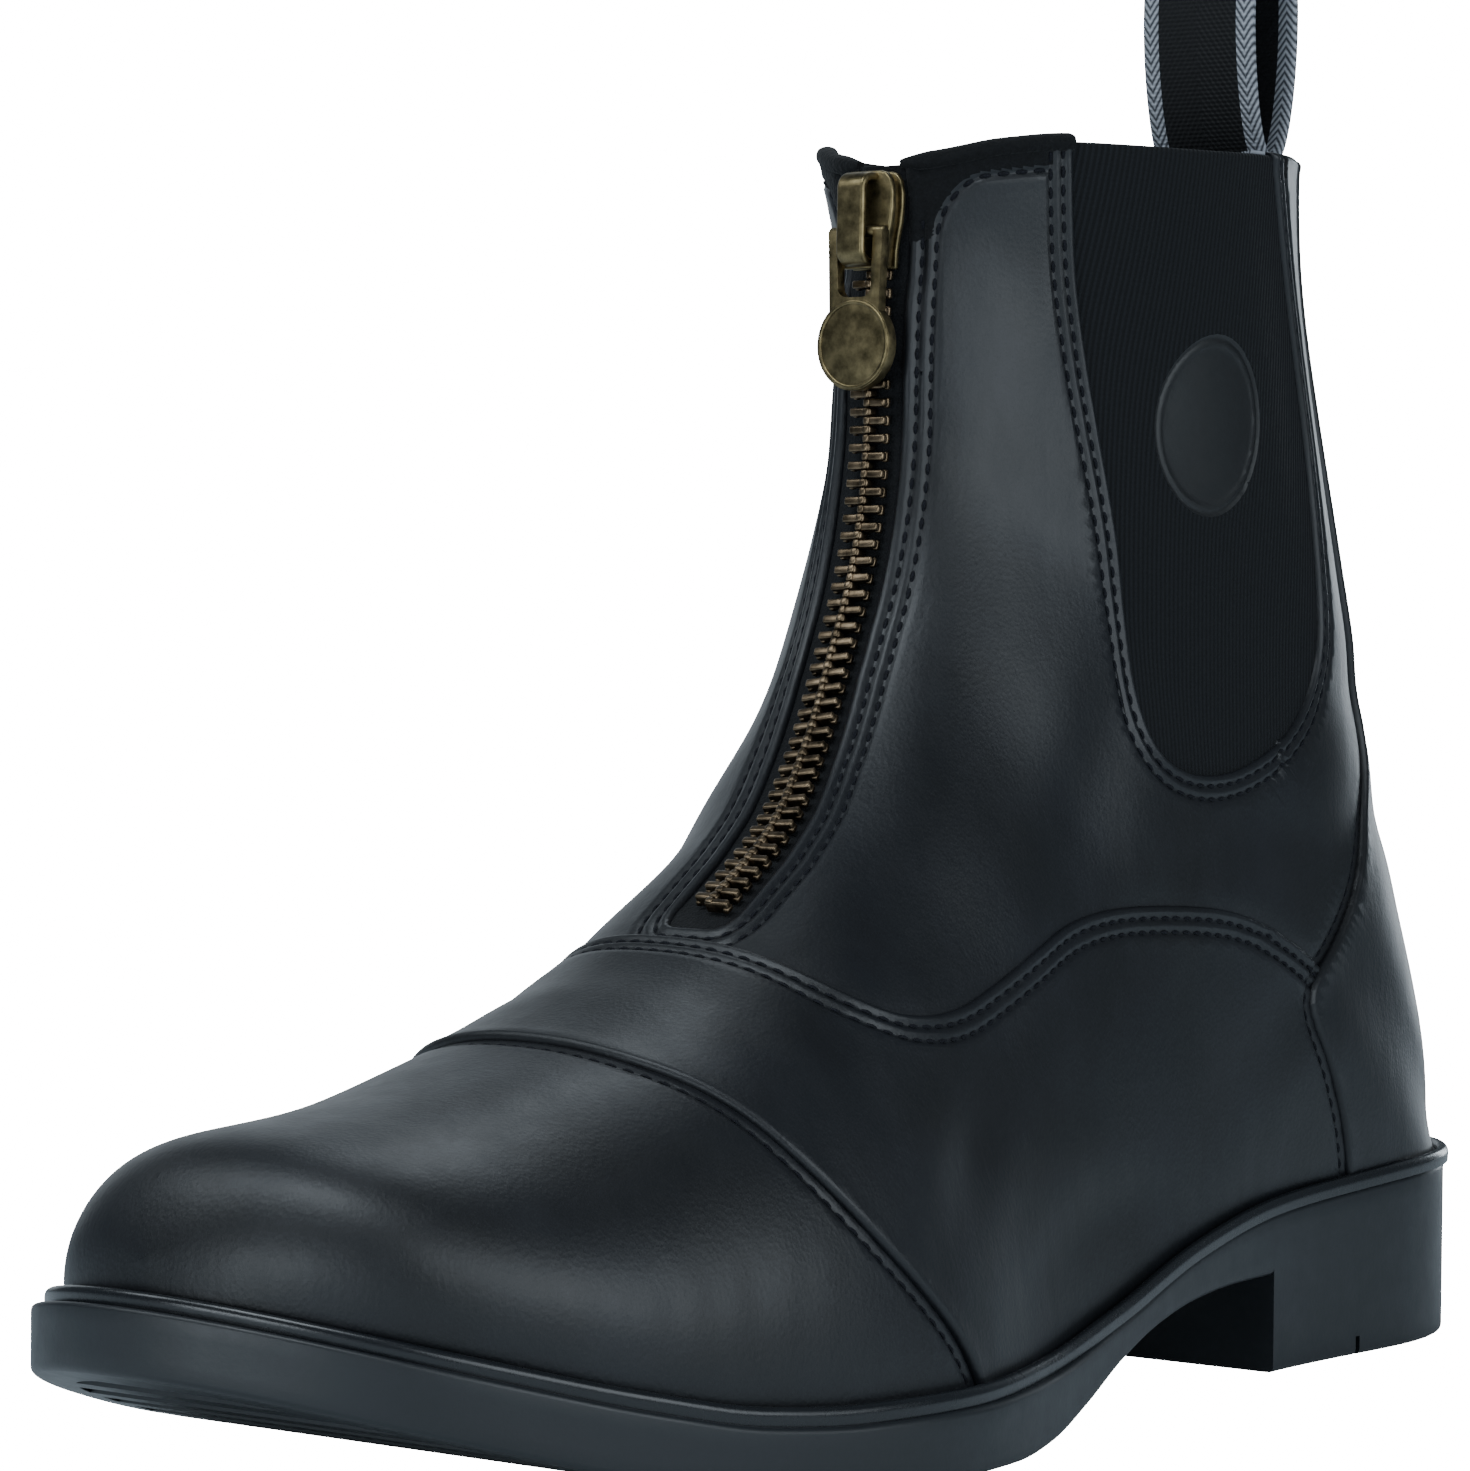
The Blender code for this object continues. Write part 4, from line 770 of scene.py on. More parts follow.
class Edge:
    """One edge of a panel: its column, the side the panel lies on, how far it laps under the next panel, and
    its rows of stitches."""

    def __init__(self, column, sign, lap=0.0, rows=(), bare=False):
        self.bare = bare
        self.column = column
        self.sign = sign
        self.lap = lap
        self.rows = [row * MM for row in rows]

    def trim(self, patch):
        if not self.bare:
            patch = keep(patch, self.column, -self.sign * self.lap, self.sign)
        lines = [] if self.lap or self.bare else list(EDGE_LINES)
        for row in self.rows:
            lines += [row - 0.9 * MM, row - 0.4 * MM, row, row + 0.4 * MM, row + 0.9 * MM]
        for line in lines:
            patch = cut_at(patch, self.column, self.sign * line)
        return patch

    def relief(self, table):
        """Height that the edge adds to or takes from the panel."""
        inward = self.sign * table[:, self.column]
        high = np.zeros(len(table))
        if self.lap:
            high -= 0.35 * MM * np.exp(-np.clip(inward, 0, None) / (1.2 * MM))
        elif not self.bare:
            near = np.clip(1 - inward / EDGE_ROUND, 0, 1)
            high -= EDGE_DEPTH * (1 - np.sqrt(np.clip(1 - near**2, 0, 1)))
            high += ROLL_HEIGHT * np.exp(-(((inward - 1.0 * MM) / (0.8 * MM)) ** 2))
        here = self.here(table)
        for row in self.rows:
            high -= here * STITCH_DEPTH * np.exp(-(((inward - row) / STITCH_TROUGH) ** 2))
            high += here * 0.10 * MM * np.exp(-(((inward - row - 1.1 * MM) / (0.7 * MM)) ** 2))
        return high

    def here(self, table):
        if self.column == ZIP:
            high = COLLAR_HEIGHT - table[:, COLLAR] - ZIP_LOW * COLLAR_HEIGHT
            return np.clip((high - 0.5 * MM) / (1.5 * MM), 0, 1) * (table[:, COLLAR] > FACING_LOW - 3 * MM)
        if self.column == CORNER:
            high = COLLAR_HEIGHT - table[:, COLLAR] - ZIP_LOW * COLLAR_HEIGHT
            before = np.clip(-(table[:, GORE] + 3.8 * MM) / (0.8 * MM), 0, 1) * (table[:, BACK] < 0)
            return before * np.clip((high - 0.5 * MM) / (1.5 * MM), 0, 1) * (abs(table[:, ACROSS]) < 0.62)
        return np.ones(len(table))


# Soft troughs of the leather. Places are shares of SOLE_LENGTH and COLLAR_HEIGHT, lengths are
# in millimetres.
CREASES = [
    # side, along, high, turn in degrees, half length, half width, depth
    (0, 0.655, 0.345, 68, 17, 4.5, 0.55),
    (0, 0.690, 0.330, 64, 15, 3.5, 0.35),
    (1, 0.560, 0.275, 40, 22, 5.0, 0.45),
    (1, 0.600, 0.215, 30, 18, 4.5, 0.35),
    (-1, 0.570, 0.260, 42, 20, 5.0, 0.45),
    (1, 0.440, 0.440, 62, 26, 6.0, 0.55),
    (1, 0.400, 0.520, 70, 24, 6.5, 0.45),
    (-1, 0.430, 0.450, 60, 24, 6.0, 0.55),
    (1, 0.300, 0.435, 12, 24, 5.0, 0.40),
    (-1, 0.310, 0.435, 12, 22, 5.0, 0.40),
    (1, 0.240, 0.300, 20, 24, 6.0, 0.35),
    (0, 0.130, 0.450, 0, 26, 5.0, 0.40),
    (0, 0.150, 0.560, 0, 24, 5.0, 0.35),
    (1, 0.480, 0.150, 12, 30, 5.5, 0.35),
    (1, 0.420, 0.720, 80, 22, 7.0, 0.35),
    (-1, 0.420, 0.700, 78, 22, 7.0, 0.35),
    (1, 0.820, 0.150, 82, 9, 1.8, 0.08),
    (1, 0.800, 0.145, 80, 9, 1.6, 0.07),
    (1, 0.775, 0.150, 78, 10, 1.8, 0.08),
    (1, 0.745, 0.140, 76, 9, 1.6, 0.07),
    (-1, 0.800, 0.150, 80, 9, 1.8, 0.07),
]


def crease_relief(points):
    """Soft troughs with a low ridge on each side, and a slow unevenness over all."""
    high = np.zeros(len(points))
    for side, along, up, turn, length, width, depth in CREASES:
        y = points[:, 1] - to_y(along * SOLE_LENGTH)
        z = points[:, 2] - up * COLLAR_HEIGHT
        angle = math.radians(turn)
        run = y * math.cos(angle) + z * math.sin(angle)
        off = -y * math.sin(angle) + z * math.cos(angle) + 0.6 * run**2 / (length * MM) * 0.3
        fade = np.exp(-((run / (length * MM)) ** 2))
        trough = np.exp(-((off / (width * MM)) ** 2))
        ridge = np.exp(-(((abs(off) - 1.7 * width * MM) / (width * MM)) ** 2))
        there = 1.0 if side == 0 else 1 / (1 + np.exp(-side * (points[:, 0] + MIDDLE_X) / (4 * MM)))
        high += there * fade * depth * MM * (0.35 * ridge - trough)
    for k, (a, b, c, size) in enumerate([(61, 43, 71, 0.14), (97, -83, 59, 0.10), (-139, 121, 103, 0.06)]):
        high += size * MM * np.sin(points @ np.array([a, b, c]) + 1.3 * k)
    return high


def welded(table, triangles):
    """Joins the two halves of a patch where they meet, at the toe tip and along the back seam."""
    target = np.arange(len(table))
    row, across = table[:, ROW], table[:, ACROSS]
    pairs = []
    for place, key in (
        (row < 1e-6, across),
        ((row > PIVOT_ROW - 1e-6) & (abs(across) > 1 - 1e-6), row * np.sign(across)),
    ):
        right = np.flatnonzero(place & (across > 0))
        left = np.flatnonzero(place & (across < 0))
        right = right[np.argsort(key[right])]
        left = left[np.argsort(-key[left])]
        if len(right) == len(left) and len(right):
            pairs.append((right, left))
            target[left] = right
    return target[triangles], pairs


def panel(name, patch, wall, base, material, inner_material=None, pressed=None):
    """A closed leather piece: its outside at the height wall of each point, its inside at the height base."""
    table, triangles = patch
    triangles, pairs = welded(table, triangles)
    used, inverse = np.unique(triangles, return_inverse=True)
    solid = (triangles[:, 0] != triangles[:, 1]) & (triangles[:, 1] != triangles[:, 2])
    solid &= triangles[:, 0] != triangles[:, 2]
    outer = upper_points(table[:, ROW], table[:, ACROSS], wall)
    inner = upper_points(table[:, ROW], table[:, ACROSS], np.broadcast_to(base, len(table)))
    for right, left in pairs:
        outer[right] = (outer[right] + outer[left]) / 2
        inner[right] = (inner[right] + inner[left]) / 2
    tris = inverse.reshape(-1, 3)[solid]
    outer, inner = outer[used], inner[used]
    count = len(outer)
    edges = np.concatenate([tris[:, [0, 1]], tris[:, [1, 2]], tris[:, [2, 0]]])
    _, back, times = np.unique(np.sort(edges, axis=1), axis=0, return_inverse=True, return_counts=True)
    rim = edges[times[back.ravel()] == 1]
    walls = np.stack([rim[:, 1], rim[:, 0], rim[:, 0] + count, rim[:, 1] + count], 1)
    faces = [list(map(int, tri)) for tri in tris]
    faces += [list(map(int, tri)) for tri in tris[:, ::-1] + count]
    faces += [list(map(int, quad)) for quad in walls]
    mesh = bpy.data.meshes.new(name)
    mesh.from_pydata(np.concatenate([outer, inner]).tolist(), [], faces)
    mesh.materials.append(material)
    if inner_material:
        mesh.materials.append(inner_material)
        slots = np.zeros(len(faces), np.int32)
        slots[len(tris) : 2 * len(tris)] = 1
        if pressed:
            mesh.materials.append(pressed[0])
            slots[: len(tris)][pressed[1](table[used][tris].mean(1))] = 2
        mesh.polygons.foreach_set("material_index", slots)
    lay_out(mesh, np.concatenate([table[used][:, [ACROSS, ROW]]] * 2))
    cleaned(mesh, 0.004 * MM, thin=True)
    return put(name, mesh)


def lay_out(mesh, places):
    """Writes a place for each vertex into the UV layer that the webbing's material reads."""
    layer = mesh.uv_layers.new(name="form")
    corner = np.zeros(len(mesh.loops), np.int32)
    mesh.loops.foreach_get("vertex_index", corner)
    layer.data.foreach_set("uv", np.asarray(places, np.float32)[corner].ravel())


def cleaned(mesh, join=0.0, smooth=True, thin=False):
    """Joins points closer than join, turns the faces out and sets their shading. With thin, slivers go too."""
    build = bmesh.new()
    build.from_mesh(mesh)
    if join:
        bmesh.ops.remove_doubles(build, verts=build.verts, dist=join)
    if thin:
        bmesh.ops.dissolve_degenerate(build, edges=build.edges, dist=1e-7)
    bmesh.ops.recalc_face_normals(build, faces=build.faces)
    if smooth is not None:
        for face in build.faces:
            face.smooth = smooth
    build.to_mesh(mesh)
    build.free()


def tube_faces(rings, sides, start=0, closed=False):
    """Faces between rings of points, each joined to the next, and the last to the first if closed."""
    faces = []
    for i in range(rings if closed else rings - 1):
        one, two = start + i * sides, start + (i + 1) % rings * sides
        for j in range(sides):
            k = (j + 1) % sides
            faces.append([one + j, one + k, two + k, two + j])
    return faces


def put(name, data):
    """A new object in the scene."""
    item = bpy.data.objects.new(name, data)
    bpy.context.scene.collection.objects.link(item)
    return item


def chains(patch, column, level):
    """The lines of a patch where a column has a level, each as a list of point numbers in order."""
    table, triangles = patch
    on = abs(table[:, column] - level) < 1e-9
    edges = np.concatenate([triangles[:, [0, 1]], triangles[:, [1, 2]], triangles[:, [2, 0]]])
    edges = np.unique(np.sort(edges[on[edges].all(1)], axis=1), axis=0)
    next_to = {}
    for one, two in edges.tolist():
        next_to.setdefault(one, []).append(two)
        next_to.setdefault(two, []).append(one)
    lines = []
    seen = set()
    ends = [point for point, near in next_to.items() if len(near) == 1]
    for first in ends + list(next_to):
        if first in seen:
            continue
        line = [first]
        seen.add(first)
        while True:
            after = [point for point in next_to[line[-1]] if point not in seen]
            if not after:
                break
            line.append(after[0])
            seen.add(after[0])
        if len(line) > 3:
            lines.append(line)
    return lines


THREADS = []
STITCH_PITCH = 2.75 * MM
STITCH_LENGTH = 2.05 * MM
STITCH_WIDTH = 0.62 * MM


def sew(patch, edge, wall):
    """Notes a place for each stitch along an edge's rows."""
    table = patch[0]
    for row in edge.rows:
        for line in chains(patch, edge.column, edge.sign * row):
            part = table[line]
            points = upper_points(part[:, ROW], part[:, ACROSS], wall[line])
            normals = upper_points(part[:, ROW], part[:, ACROSS], wall[line] + 1 * MM) - points
            allowed = edge.here(part) > 0.5
            run = run_along(points)
            for at in np.arange(STITCH_PITCH, run[-1] - STITCH_PITCH / 2, STITCH_PITCH):
                if np.interp(at, run, allowed) < 0.5:
                    continue
                ends = []
                for shift in (-STITCH_LENGTH / 2, 0, STITCH_LENGTH / 2):
                    ends.append(read_off(at + shift, run, points))
                normal = read_off(at, run, normals)
                THREADS.append((np.array(ends), normal / np.linalg.norm(normal)))


def thread_mesh(name, stitches, material, width=STITCH_WIDTH, sides=8):
    """One mesh of short threads, each sunk at both ends."""
    points = []
    faces = []
    turn = np.linspace(0, 2 * math.pi, sides, endpoint=False)
    stations = [
        # along, fatness, rise
        (-0.5, 0.35, -0.30),
        (-0.36, 0.86, 0.10),
        (0.0, 1.0, 0.32),
        (0.36, 0.86, 0.10),
        (0.5, 0.35, -0.30),
    ]
    for ends, normal in stitches:
        along = ends[2] - ends[0]
        length = np.linalg.norm(along)
        along /= length
        side = np.cross(along, normal)
        base = len(points)
        for share, fat, rise in stations:
            middle = ends[1] + along * share * length + normal * rise * width
            for angle in turn:
                reach = side * math.cos(angle) + normal * 0.7 * math.sin(angle)
                points.append(middle + reach * fat * width / 2)
        faces += tube_faces(len(stations), sides, base)
        faces.append([base + i for i in range(sides)])
        faces.append([base + (len(stations) - 1) * sides + i for i in reversed(range(sides))])
    return mesh_object(name, points, faces, material)


def mesh_object(name, points, faces, material, smooth=True, sharp=None):
    mesh = bpy.data.meshes.new(name)
    mesh.from_pydata([tuple(map(float, point)) for point in points], [], faces)
    mesh.materials.append(material)
    cleaned(mesh, 1e-7, smooth)
    if sharp:
        mesh.set_sharp_from_angle(angle=math.radians(sharp))
    return put(name, mesh)


def fit_out(item, slot, *nodes, body=ROOT):
    """Says what a piece rides on and which solids it stands for, and hides those solids. Its slot argument is
    not used.
    """
    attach(item, body)
    if nodes:
        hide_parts(*nodes)
    return item


# Materials
class Look:
    """A material's nodes. Each method but give adds one node and returns the socket that it offers."""

    def __init__(self, name):
        self.material = bpy.data.materials.new(name)
        self.material.use_nodes = True
        tree = self.material.node_tree
        self.nodes = tree.nodes
        self.links = tree.links
        self.shader = tree.nodes["Principled BSDF"]

    def give(self, name, value):
        """Joins one of the shader's inputs to a socket, or sets it."""
        if isinstance(value, bpy.types.NodeSocket):
            self.links.new(value, self.shader.inputs[name])
        else:
            self.shader.inputs[name].default_value = value

    def texture(self, kind, scale, vector, detail=2.0, roughness=0.5):
        made = self.nodes.new("ShaderNodeTex" + kind)
        made.inputs["Scale"].default_value = scale
        if kind == "Noise":
            made.inputs["Detail"].default_value = detail
            made.inputs["Roughness"].default_value = roughness
        self.links.new(vector, made.inputs["Vector"])
        return made.outputs["Distance" if kind == "Voronoi" else "Fac"]

    def bands(self, direction, scale, vector):
        made = self.nodes.new("ShaderNodeTexWave")
        made.bands_direction = direction
        made.inputs["Scale"].default_value = scale
        self.links.new(vector, made.inputs["Vector"])
        return made.outputs["Fac"]

    def placed(self, scale=(1, 1, 1), rotation=(0, 0, 0)):
        at = self.nodes.new("ShaderNodeTexCoord")
        mapping = self.nodes.new("ShaderNodeMapping")
        mapping.inputs["Scale"].default_value = scale
        mapping.inputs["Rotation"].default_value = rotation
        self.links.new(at.outputs["Object"], mapping.inputs["Vector"])
        return mapping.outputs["Vector"]

    def ramp(self, source, stops):
        made = self.nodes.new("ShaderNodeValToRGB")
        for element, (place, colour) in zip(made.color_ramp.elements, stops):
            element.position = place
            element.color = (*colour, 1.0)
        self.links.new(source, made.inputs["Fac"])
        return made.outputs["Color"]

    def level(self, source, low, high):
        made = self.nodes.new("ShaderNodeMapRange")
        made.inputs["To Min"].default_value = low
        made.inputs["To Max"].default_value = high
        self.links.new(source, made.inputs["Value"])
        return made.outputs["Result"]

    def bump(self, source, distance, strength=1.0, before=None):
        made = self.nodes.new("ShaderNodeBump")
        made.inputs["Distance"].default_value = distance
        made.inputs["Strength"].default_value = strength
        self.links.new(source, made.inputs["Height"])
        if before:
            self.links.new(before, made.inputs["Normal"])
        return made.outputs["Normal"]


def leather_material(name, dark=(0.0022, 0.0026, 0.0036), light=(0.0055, 0.0065, 0.0090)):
    """Smooth black leather with a fine grain, faint scuffs and a soft, slightly cool sheen."""
    look = Look(name)
    cloud = look.texture("Noise", 38, look.placed(), 4, 0.55)
    look.give("Base Color", look.ramp(cloud, [(0.35, dark), (0.72, light)]))
    wear = look.texture("Noise", 160, look.placed((1, 1, 0.35)), 5, 0.65)
    look.give("Roughness", look.level(wear, 0.36, 0.54))
    cells = look.texture("Voronoi", 1500, look.placed())
    fine = look.texture("Noise", 900, look.placed((1, 1, 0.5)), 6, 0.7)
    folds = look.texture("Noise", 260, look.placed((1.0, 1.0, 0.22)), 3, 0.6)
    normal = look.bump(folds, 0.10 * MM, 0.6)
    normal = look.bump(cells, 0.035 * MM, 0.7, normal)
    normal = look.bump(fine, 0.05 * MM, 0.8, normal)
    look.give("Normal", normal)
    look.give("Specular IOR Level", 0.42)
    look.give("Coat Weight", 0.06)
    look.give("Coat Roughness", 0.30)
    return look.material


def rubber_material(name, colour=(0.0060, 0.0080, 0.0105), roughness=0.42):
    """Moulded rubber: satin, with a faint unevenness from the mould."""
    look = Look(name)
    cloud = look.texture("Noise", 30, look.placed(), 3, 0.5)
    darker = tuple(part * 0.72 for part in colour)
    look.give("Base Color", look.ramp(cloud, [(0.3, darker), (0.75, colour)]))
    wear = look.texture("Noise", 220, look.placed(), 5, 0.65)
    look.give("Roughness", look.level(wear, roughness - 0.07, roughness + 0.10))
    fine = look.texture("Noise", 1400, look.placed(), 4, 0.6)
    look.give("Normal", look.bump(fine, 0.03 * MM, 0.7))
    look.give("Specular IOR Level", 0.5)
    return look.material


def elastic_material(name):
    """Elastic webbing: fine upright ribs with a woven bar across them."""
    look = Look(name)
    where = look.placed(rotation=(math.radians(4), 0, 0))
    ribs = look.bands("Y", 330, where)
    bars = look.bands("Z", 420, where)
    fluff = look.texture("Noise", 900, look.placed(), 5, 0.7)
    stops = [(0.2, (0.0022, 0.0026, 0.0032)), (0.9, (0.0062, 0.0072, 0.0088))]
    look.give("Base Color", look.ramp(ribs, stops))
    normal = look.bump(ribs, 0.16 * MM, 0.8)
    normal = look.bump(bars, 0.05 * MM, 0.5, normal)
    normal = look.bump(fluff, 0.06 * MM, 0.8, normal)
    look.give("Normal", normal)
    look.give("Roughness", 0.88)
    look.give("Sheen Weight", 0.015)
    look.give("Specular IOR Level", 0.22)
    return look.material


def cloth_material(name, dark, light, scale=1500, roughness=0.9, sheen=0.02):
    """Plain woven cloth."""
    look = Look(name)
    where = look.placed()
    weave = look.texture("Voronoi", scale, where)
    fluff = look.texture("Noise", scale * 0.6, where, 6, 0.75)
    look.give("Base Color", look.ramp(fluff, [(0.3, dark), (0.7, light)]))
    normal = look.bump(weave, 0.15 * MM, 0.8)
    normal = look.bump(fluff, 0.12 * MM, 0.8, normal)
    look.give("Normal", normal)
    look.give("Roughness", roughness)
    look.give("Sheen Weight", sheen)
    look.give("Specular IOR Level", 0.25)
    return look.material


def brass_material(name, dark, light, roughness=0.34):
    """Antique brass: darkened metal, brighter where it is rubbed."""
    look = Look(name)
    look.give("Metallic", 1.0)
    tarnish = look.texture("Noise", 420, look.placed(), 5, 0.6)
    fine = look.texture("Noise", 2600, look.placed(), 3, 0.6)
    look.give("Base Color", look.ramp(tarnish, [(0.32, dark), (0.68, light)]))
    look.give("Roughness", look.level(tarnish, roughness - 0.06, roughness + 0.12))
    look.give("Normal", look.bump(fine, 0.02 * MM, 0.5))
    return look.material


def webbing_material(name):
    """Woven loop: a black middle with a ribbed face, and a silver herringbone band along each edge."""
    look = Look(name)
    nodes, links = look.nodes, look.links
    at = nodes.new("ShaderNodeUVMap")
    at.uv_map = "form"
    parts = nodes.new("ShaderNodeSeparateXYZ")
    links.new(at.outputs["UV"], parts.inputs["Vector"])

    def maths(operation, one, two=None):
        made = nodes.new("ShaderNodeMath")
        made.operation = operation
        for socket, value in zip(made.inputs, (one, two)):
            if value is None:
                continue
            if isinstance(value, (int, float)):
                socket.default_value = value
            else:
                links.new(value, socket)
        return made.outputs["Value"]

    from_middle = maths("ABSOLUTE", maths("SUBTRACT", parts.outputs["X"], 0.5))
    band = maths("GREATER_THAN", from_middle, 0.5 - WEBBING_EDGE / WEBBING_WIDTH)
    slant = maths("ABSOLUTE", maths("SUBTRACT", from_middle, 0.5 - WEBBING_EDGE / WEBBING_WIDTH / 2))
    slanted = maths("SUBTRACT", parts.outputs["Y"], maths("MULTIPLY", slant, 0.3))
    twill = maths("SINE", maths("MULTIPLY", slanted, 420))
    light = look.level(maths("MULTIPLY", maths("ADD", twill, 1.0), 0.5), 0.0, 1.0)
    mix = nodes.new("ShaderNodeMix")
    mix.data_type = "RGBA"
    mix.inputs["A"].default_value = (0.0018, 0.0020, 0.0026, 1)
    silver = nodes.new("ShaderNodeMix")
    silver.data_type = "RGBA"
    silver.inputs["A"].default_value = (0.035, 0.038, 0.045, 1)
    silver.inputs["B"].default_value = (0.34, 0.36, 0.40, 1)
    links.new(light, silver.inputs["Factor"])
    links.new(silver.outputs["Result"], mix.inputs["B"])
    links.new(band, mix.inputs["Factor"])
    look.give("Base Color", mix.outputs["Result"])
    ribs = maths("SINE", maths("MULTIPLY", parts.outputs["Y"], 900))
    fluff = look.texture("Noise", 1300, look.placed(), 4, 0.7)
    normal = look.bump(ribs, 0.05 * MM, 0.6)
    normal = look.bump(twill, 0.06 * MM, 0.6, normal)
    normal = look.bump(fluff, 0.07 * MM, 0.8, normal)
    look.give("Normal", normal)
    look.give("Roughness", 0.72)
    look.give("Sheen Weight", 0.02)
    look.give("Specular IOR Level", 0.3)
    return look.material


LEATHER = leather_material("black_leather")
RUBBER = rubber_material("sole_rubber")
BEAD = rubber_material("welt_rubber", (0.0055, 0.0068, 0.0088), 0.25)
ELASTIC = elastic_material("gore_elastic")
LINING = cloth_material("lining_cloth", (0.010, 0.010, 0.011), (0.028, 0.028, 0.030), 1100, 0.92)
TAPE = cloth_material("zip_tape_cloth", (0.0012, 0.0013, 0.0016), (0.0042, 0.0046, 0.0058), 1900, 0.85)
BINDING = cloth_material("binding_cloth", (0.0012, 0.0013, 0.0016), (0.0038, 0.0042, 0.0050), 1500, 0.95, 0.04)
THREAD = cloth_material("sewing_thread", (0.0012, 0.0014, 0.0028), (0.0030, 0.0038, 0.0080), 3000, 0.85, 0.01)
BRASS = brass_material("antique_brass", (0.075, 0.060, 0.030), (0.26, 0.205, 0.105))
TEETH = brass_material("teeth_brass", (0.050, 0.036, 0.022), (0.24, 0.175, 0.110), 0.30)
WEBBING = webbing_material("loop_webbing")
PRESSED = rubber_material("pressed_oval", (0.0024, 0.0028, 0.0034), 0.46)
INSOLE = cloth_material("insole_cloth", (0.02, 0.02, 0.021), (0.045, 0.045, 0.047), 900, 0.95)


# Leather panels
QUARTER_EDGES = [
    Edge(ZIP, 1, rows=(2.1,)),
    Edge(GORE, -1, rows=(1.7, 3.7)),
    Edge(COLLAR, 1),
    Edge(CORNER, 1, rows=(0.0,), bare=True),
    Edge(WAVE, 1, lap=3.0 * MM),
    Edge(BACK, -1, lap=2.0 * MM, rows=(1.5,)),
]
VAMP_EDGES = [
    Edge(WAVE, -1, rows=(1.9, 4.0)),
    Edge(CAP, 1),
    Edge(BACK, -1, lap=2.0 * MM, rows=(1.5,)),
]
CAP_EDGES = [Edge(CAP, -1, lap=2.0 * MM, rows=(1.6,))]
BACK_EDGES = [
    Edge(BACK, 1),
    Edge(GORE, -1, rows=(1.7, 3.7)),
    Edge(COLLAR, 1),
]


def in_facing(table):
    """The cloth that faces the quarters along the collar's front and the zip's top."""
    before = (table[:, GORE] < -3.2 * MM) & (table[:, BACK] < 0) & (abs(table[:, ACROSS]) < 0.66)
    return before & (table[:, CORNER] < -0.75 * MM) & (table[:, COLLAR] < FACING_LOW)


def leather_panel(name, edges, wall, facing=None):
    patch = SURFACE
    for edge in edges:
        patch = edge.trim(patch)
    table = patch[0]
    points = upper_points(table[:, ROW], table[:, ACROSS])
    high = wall + crease_relief(points)
    for edge in edges:
        high = high + edge.relief(table)
    if facing:
        near_zip = np.clip((3.4 * MM - table[:, ZIP]) / (1.0 * MM), 0, 1)
        near_top = np.clip((21 * MM - table[:, COLLAR]) / (3 * MM), 0, 1)
        high -= 0.42 * MM * near_zip * near_top
    for edge in edges:
        sew(patch, edge, high)
    item = panel(name, patch, high, 0.25 * MM, LEATHER, LINING, facing)
    return fit_out(item, "leather", "upper")


leather_panel("toe_cap", CAP_EDGES, CAP_WALL + 0.1 * MM)
leather_panel("vamp", VAMP_EDGES, VAMP_WALL)
leather_panel("quarters", QUARTER_EDGES, QUARTER_WALL, (BINDING, in_facing))
leather_panel("back_panel", BACK_EDGES, BACK_WALL)


# Gores
GORE_SINK = 1.15 * MM


def in_oval(table):
    return table[:, OVAL] < -0.1 * MM


def gore_piece(side):
    patch = keep(SURFACE, GORE, -3.5 * MM, 1)
    patch = keep(patch, ACROSS, 0.0, side)
    patch = keep(patch, COLLAR, 0.5 * MM, 1)
    for line in (0.5, 0.7, 0.95, 1.4):
        patch = cut_at(patch, COLLAR, line * MM)
    oval = side > 0
    if oval:
        for line in (-2.2, -1.7, -1.2, -0.8, -0.4, 0.0, 0.3):
            patch = cut_at(patch, OVAL, line * MM)
    table = patch[0]
    high = np.full(len(table), GORE_SINK)
    from_top = table[:, COLLAR] - 0.5 * MM
    high -= 0.5 * MM * (1 - np.sqrt(np.clip(1 - np.clip(1 - from_top / (0.9 * MM), 0, 1) ** 2, 0, 1)))
    high += 0.12 * MM * np.sin(table[:, ROW] * 2.1 + 0.5) * np.cos(table[:, ACROSS] * 9)
    if oval:
        inside = table[:, OVAL]
        high -= 0.28 * MM * np.clip(-inside / (0.4 * MM), 0, 1)
        high += 0.25 * MM * np.exp(-(((inside + 1.2 * MM) / (0.42 * MM)) ** 2))
        high += 0.12 * MM * np.exp(-(((inside - 0.3 * MM) / (0.5 * MM)) ** 2))
    word = "lateral" if side > 0 else "medial"
    pressed = (PRESSED, in_oval) if oval else None
    item = panel("gore_elastic_" + word, patch, high, 0.2 * MM, ELASTIC, LINING, pressed)
    return fit_out(item, "elastic", "gore_" + word)


gore_piece(1)
gore_piece(-1)


# Lining, from the collar down to the insole
def lining_piece():
    patch = keep(SURFACE, COLLAR, 1.2 * MM, 1)
    patch = keep(patch, ZIP, -1.0 * MM, 1)
    item = panel("lining", patch, np.full(len(patch[0]), 0.20 * MM), -0.25 * MM, LINING)
    return fit_out(item, "lining")


lining_piece()

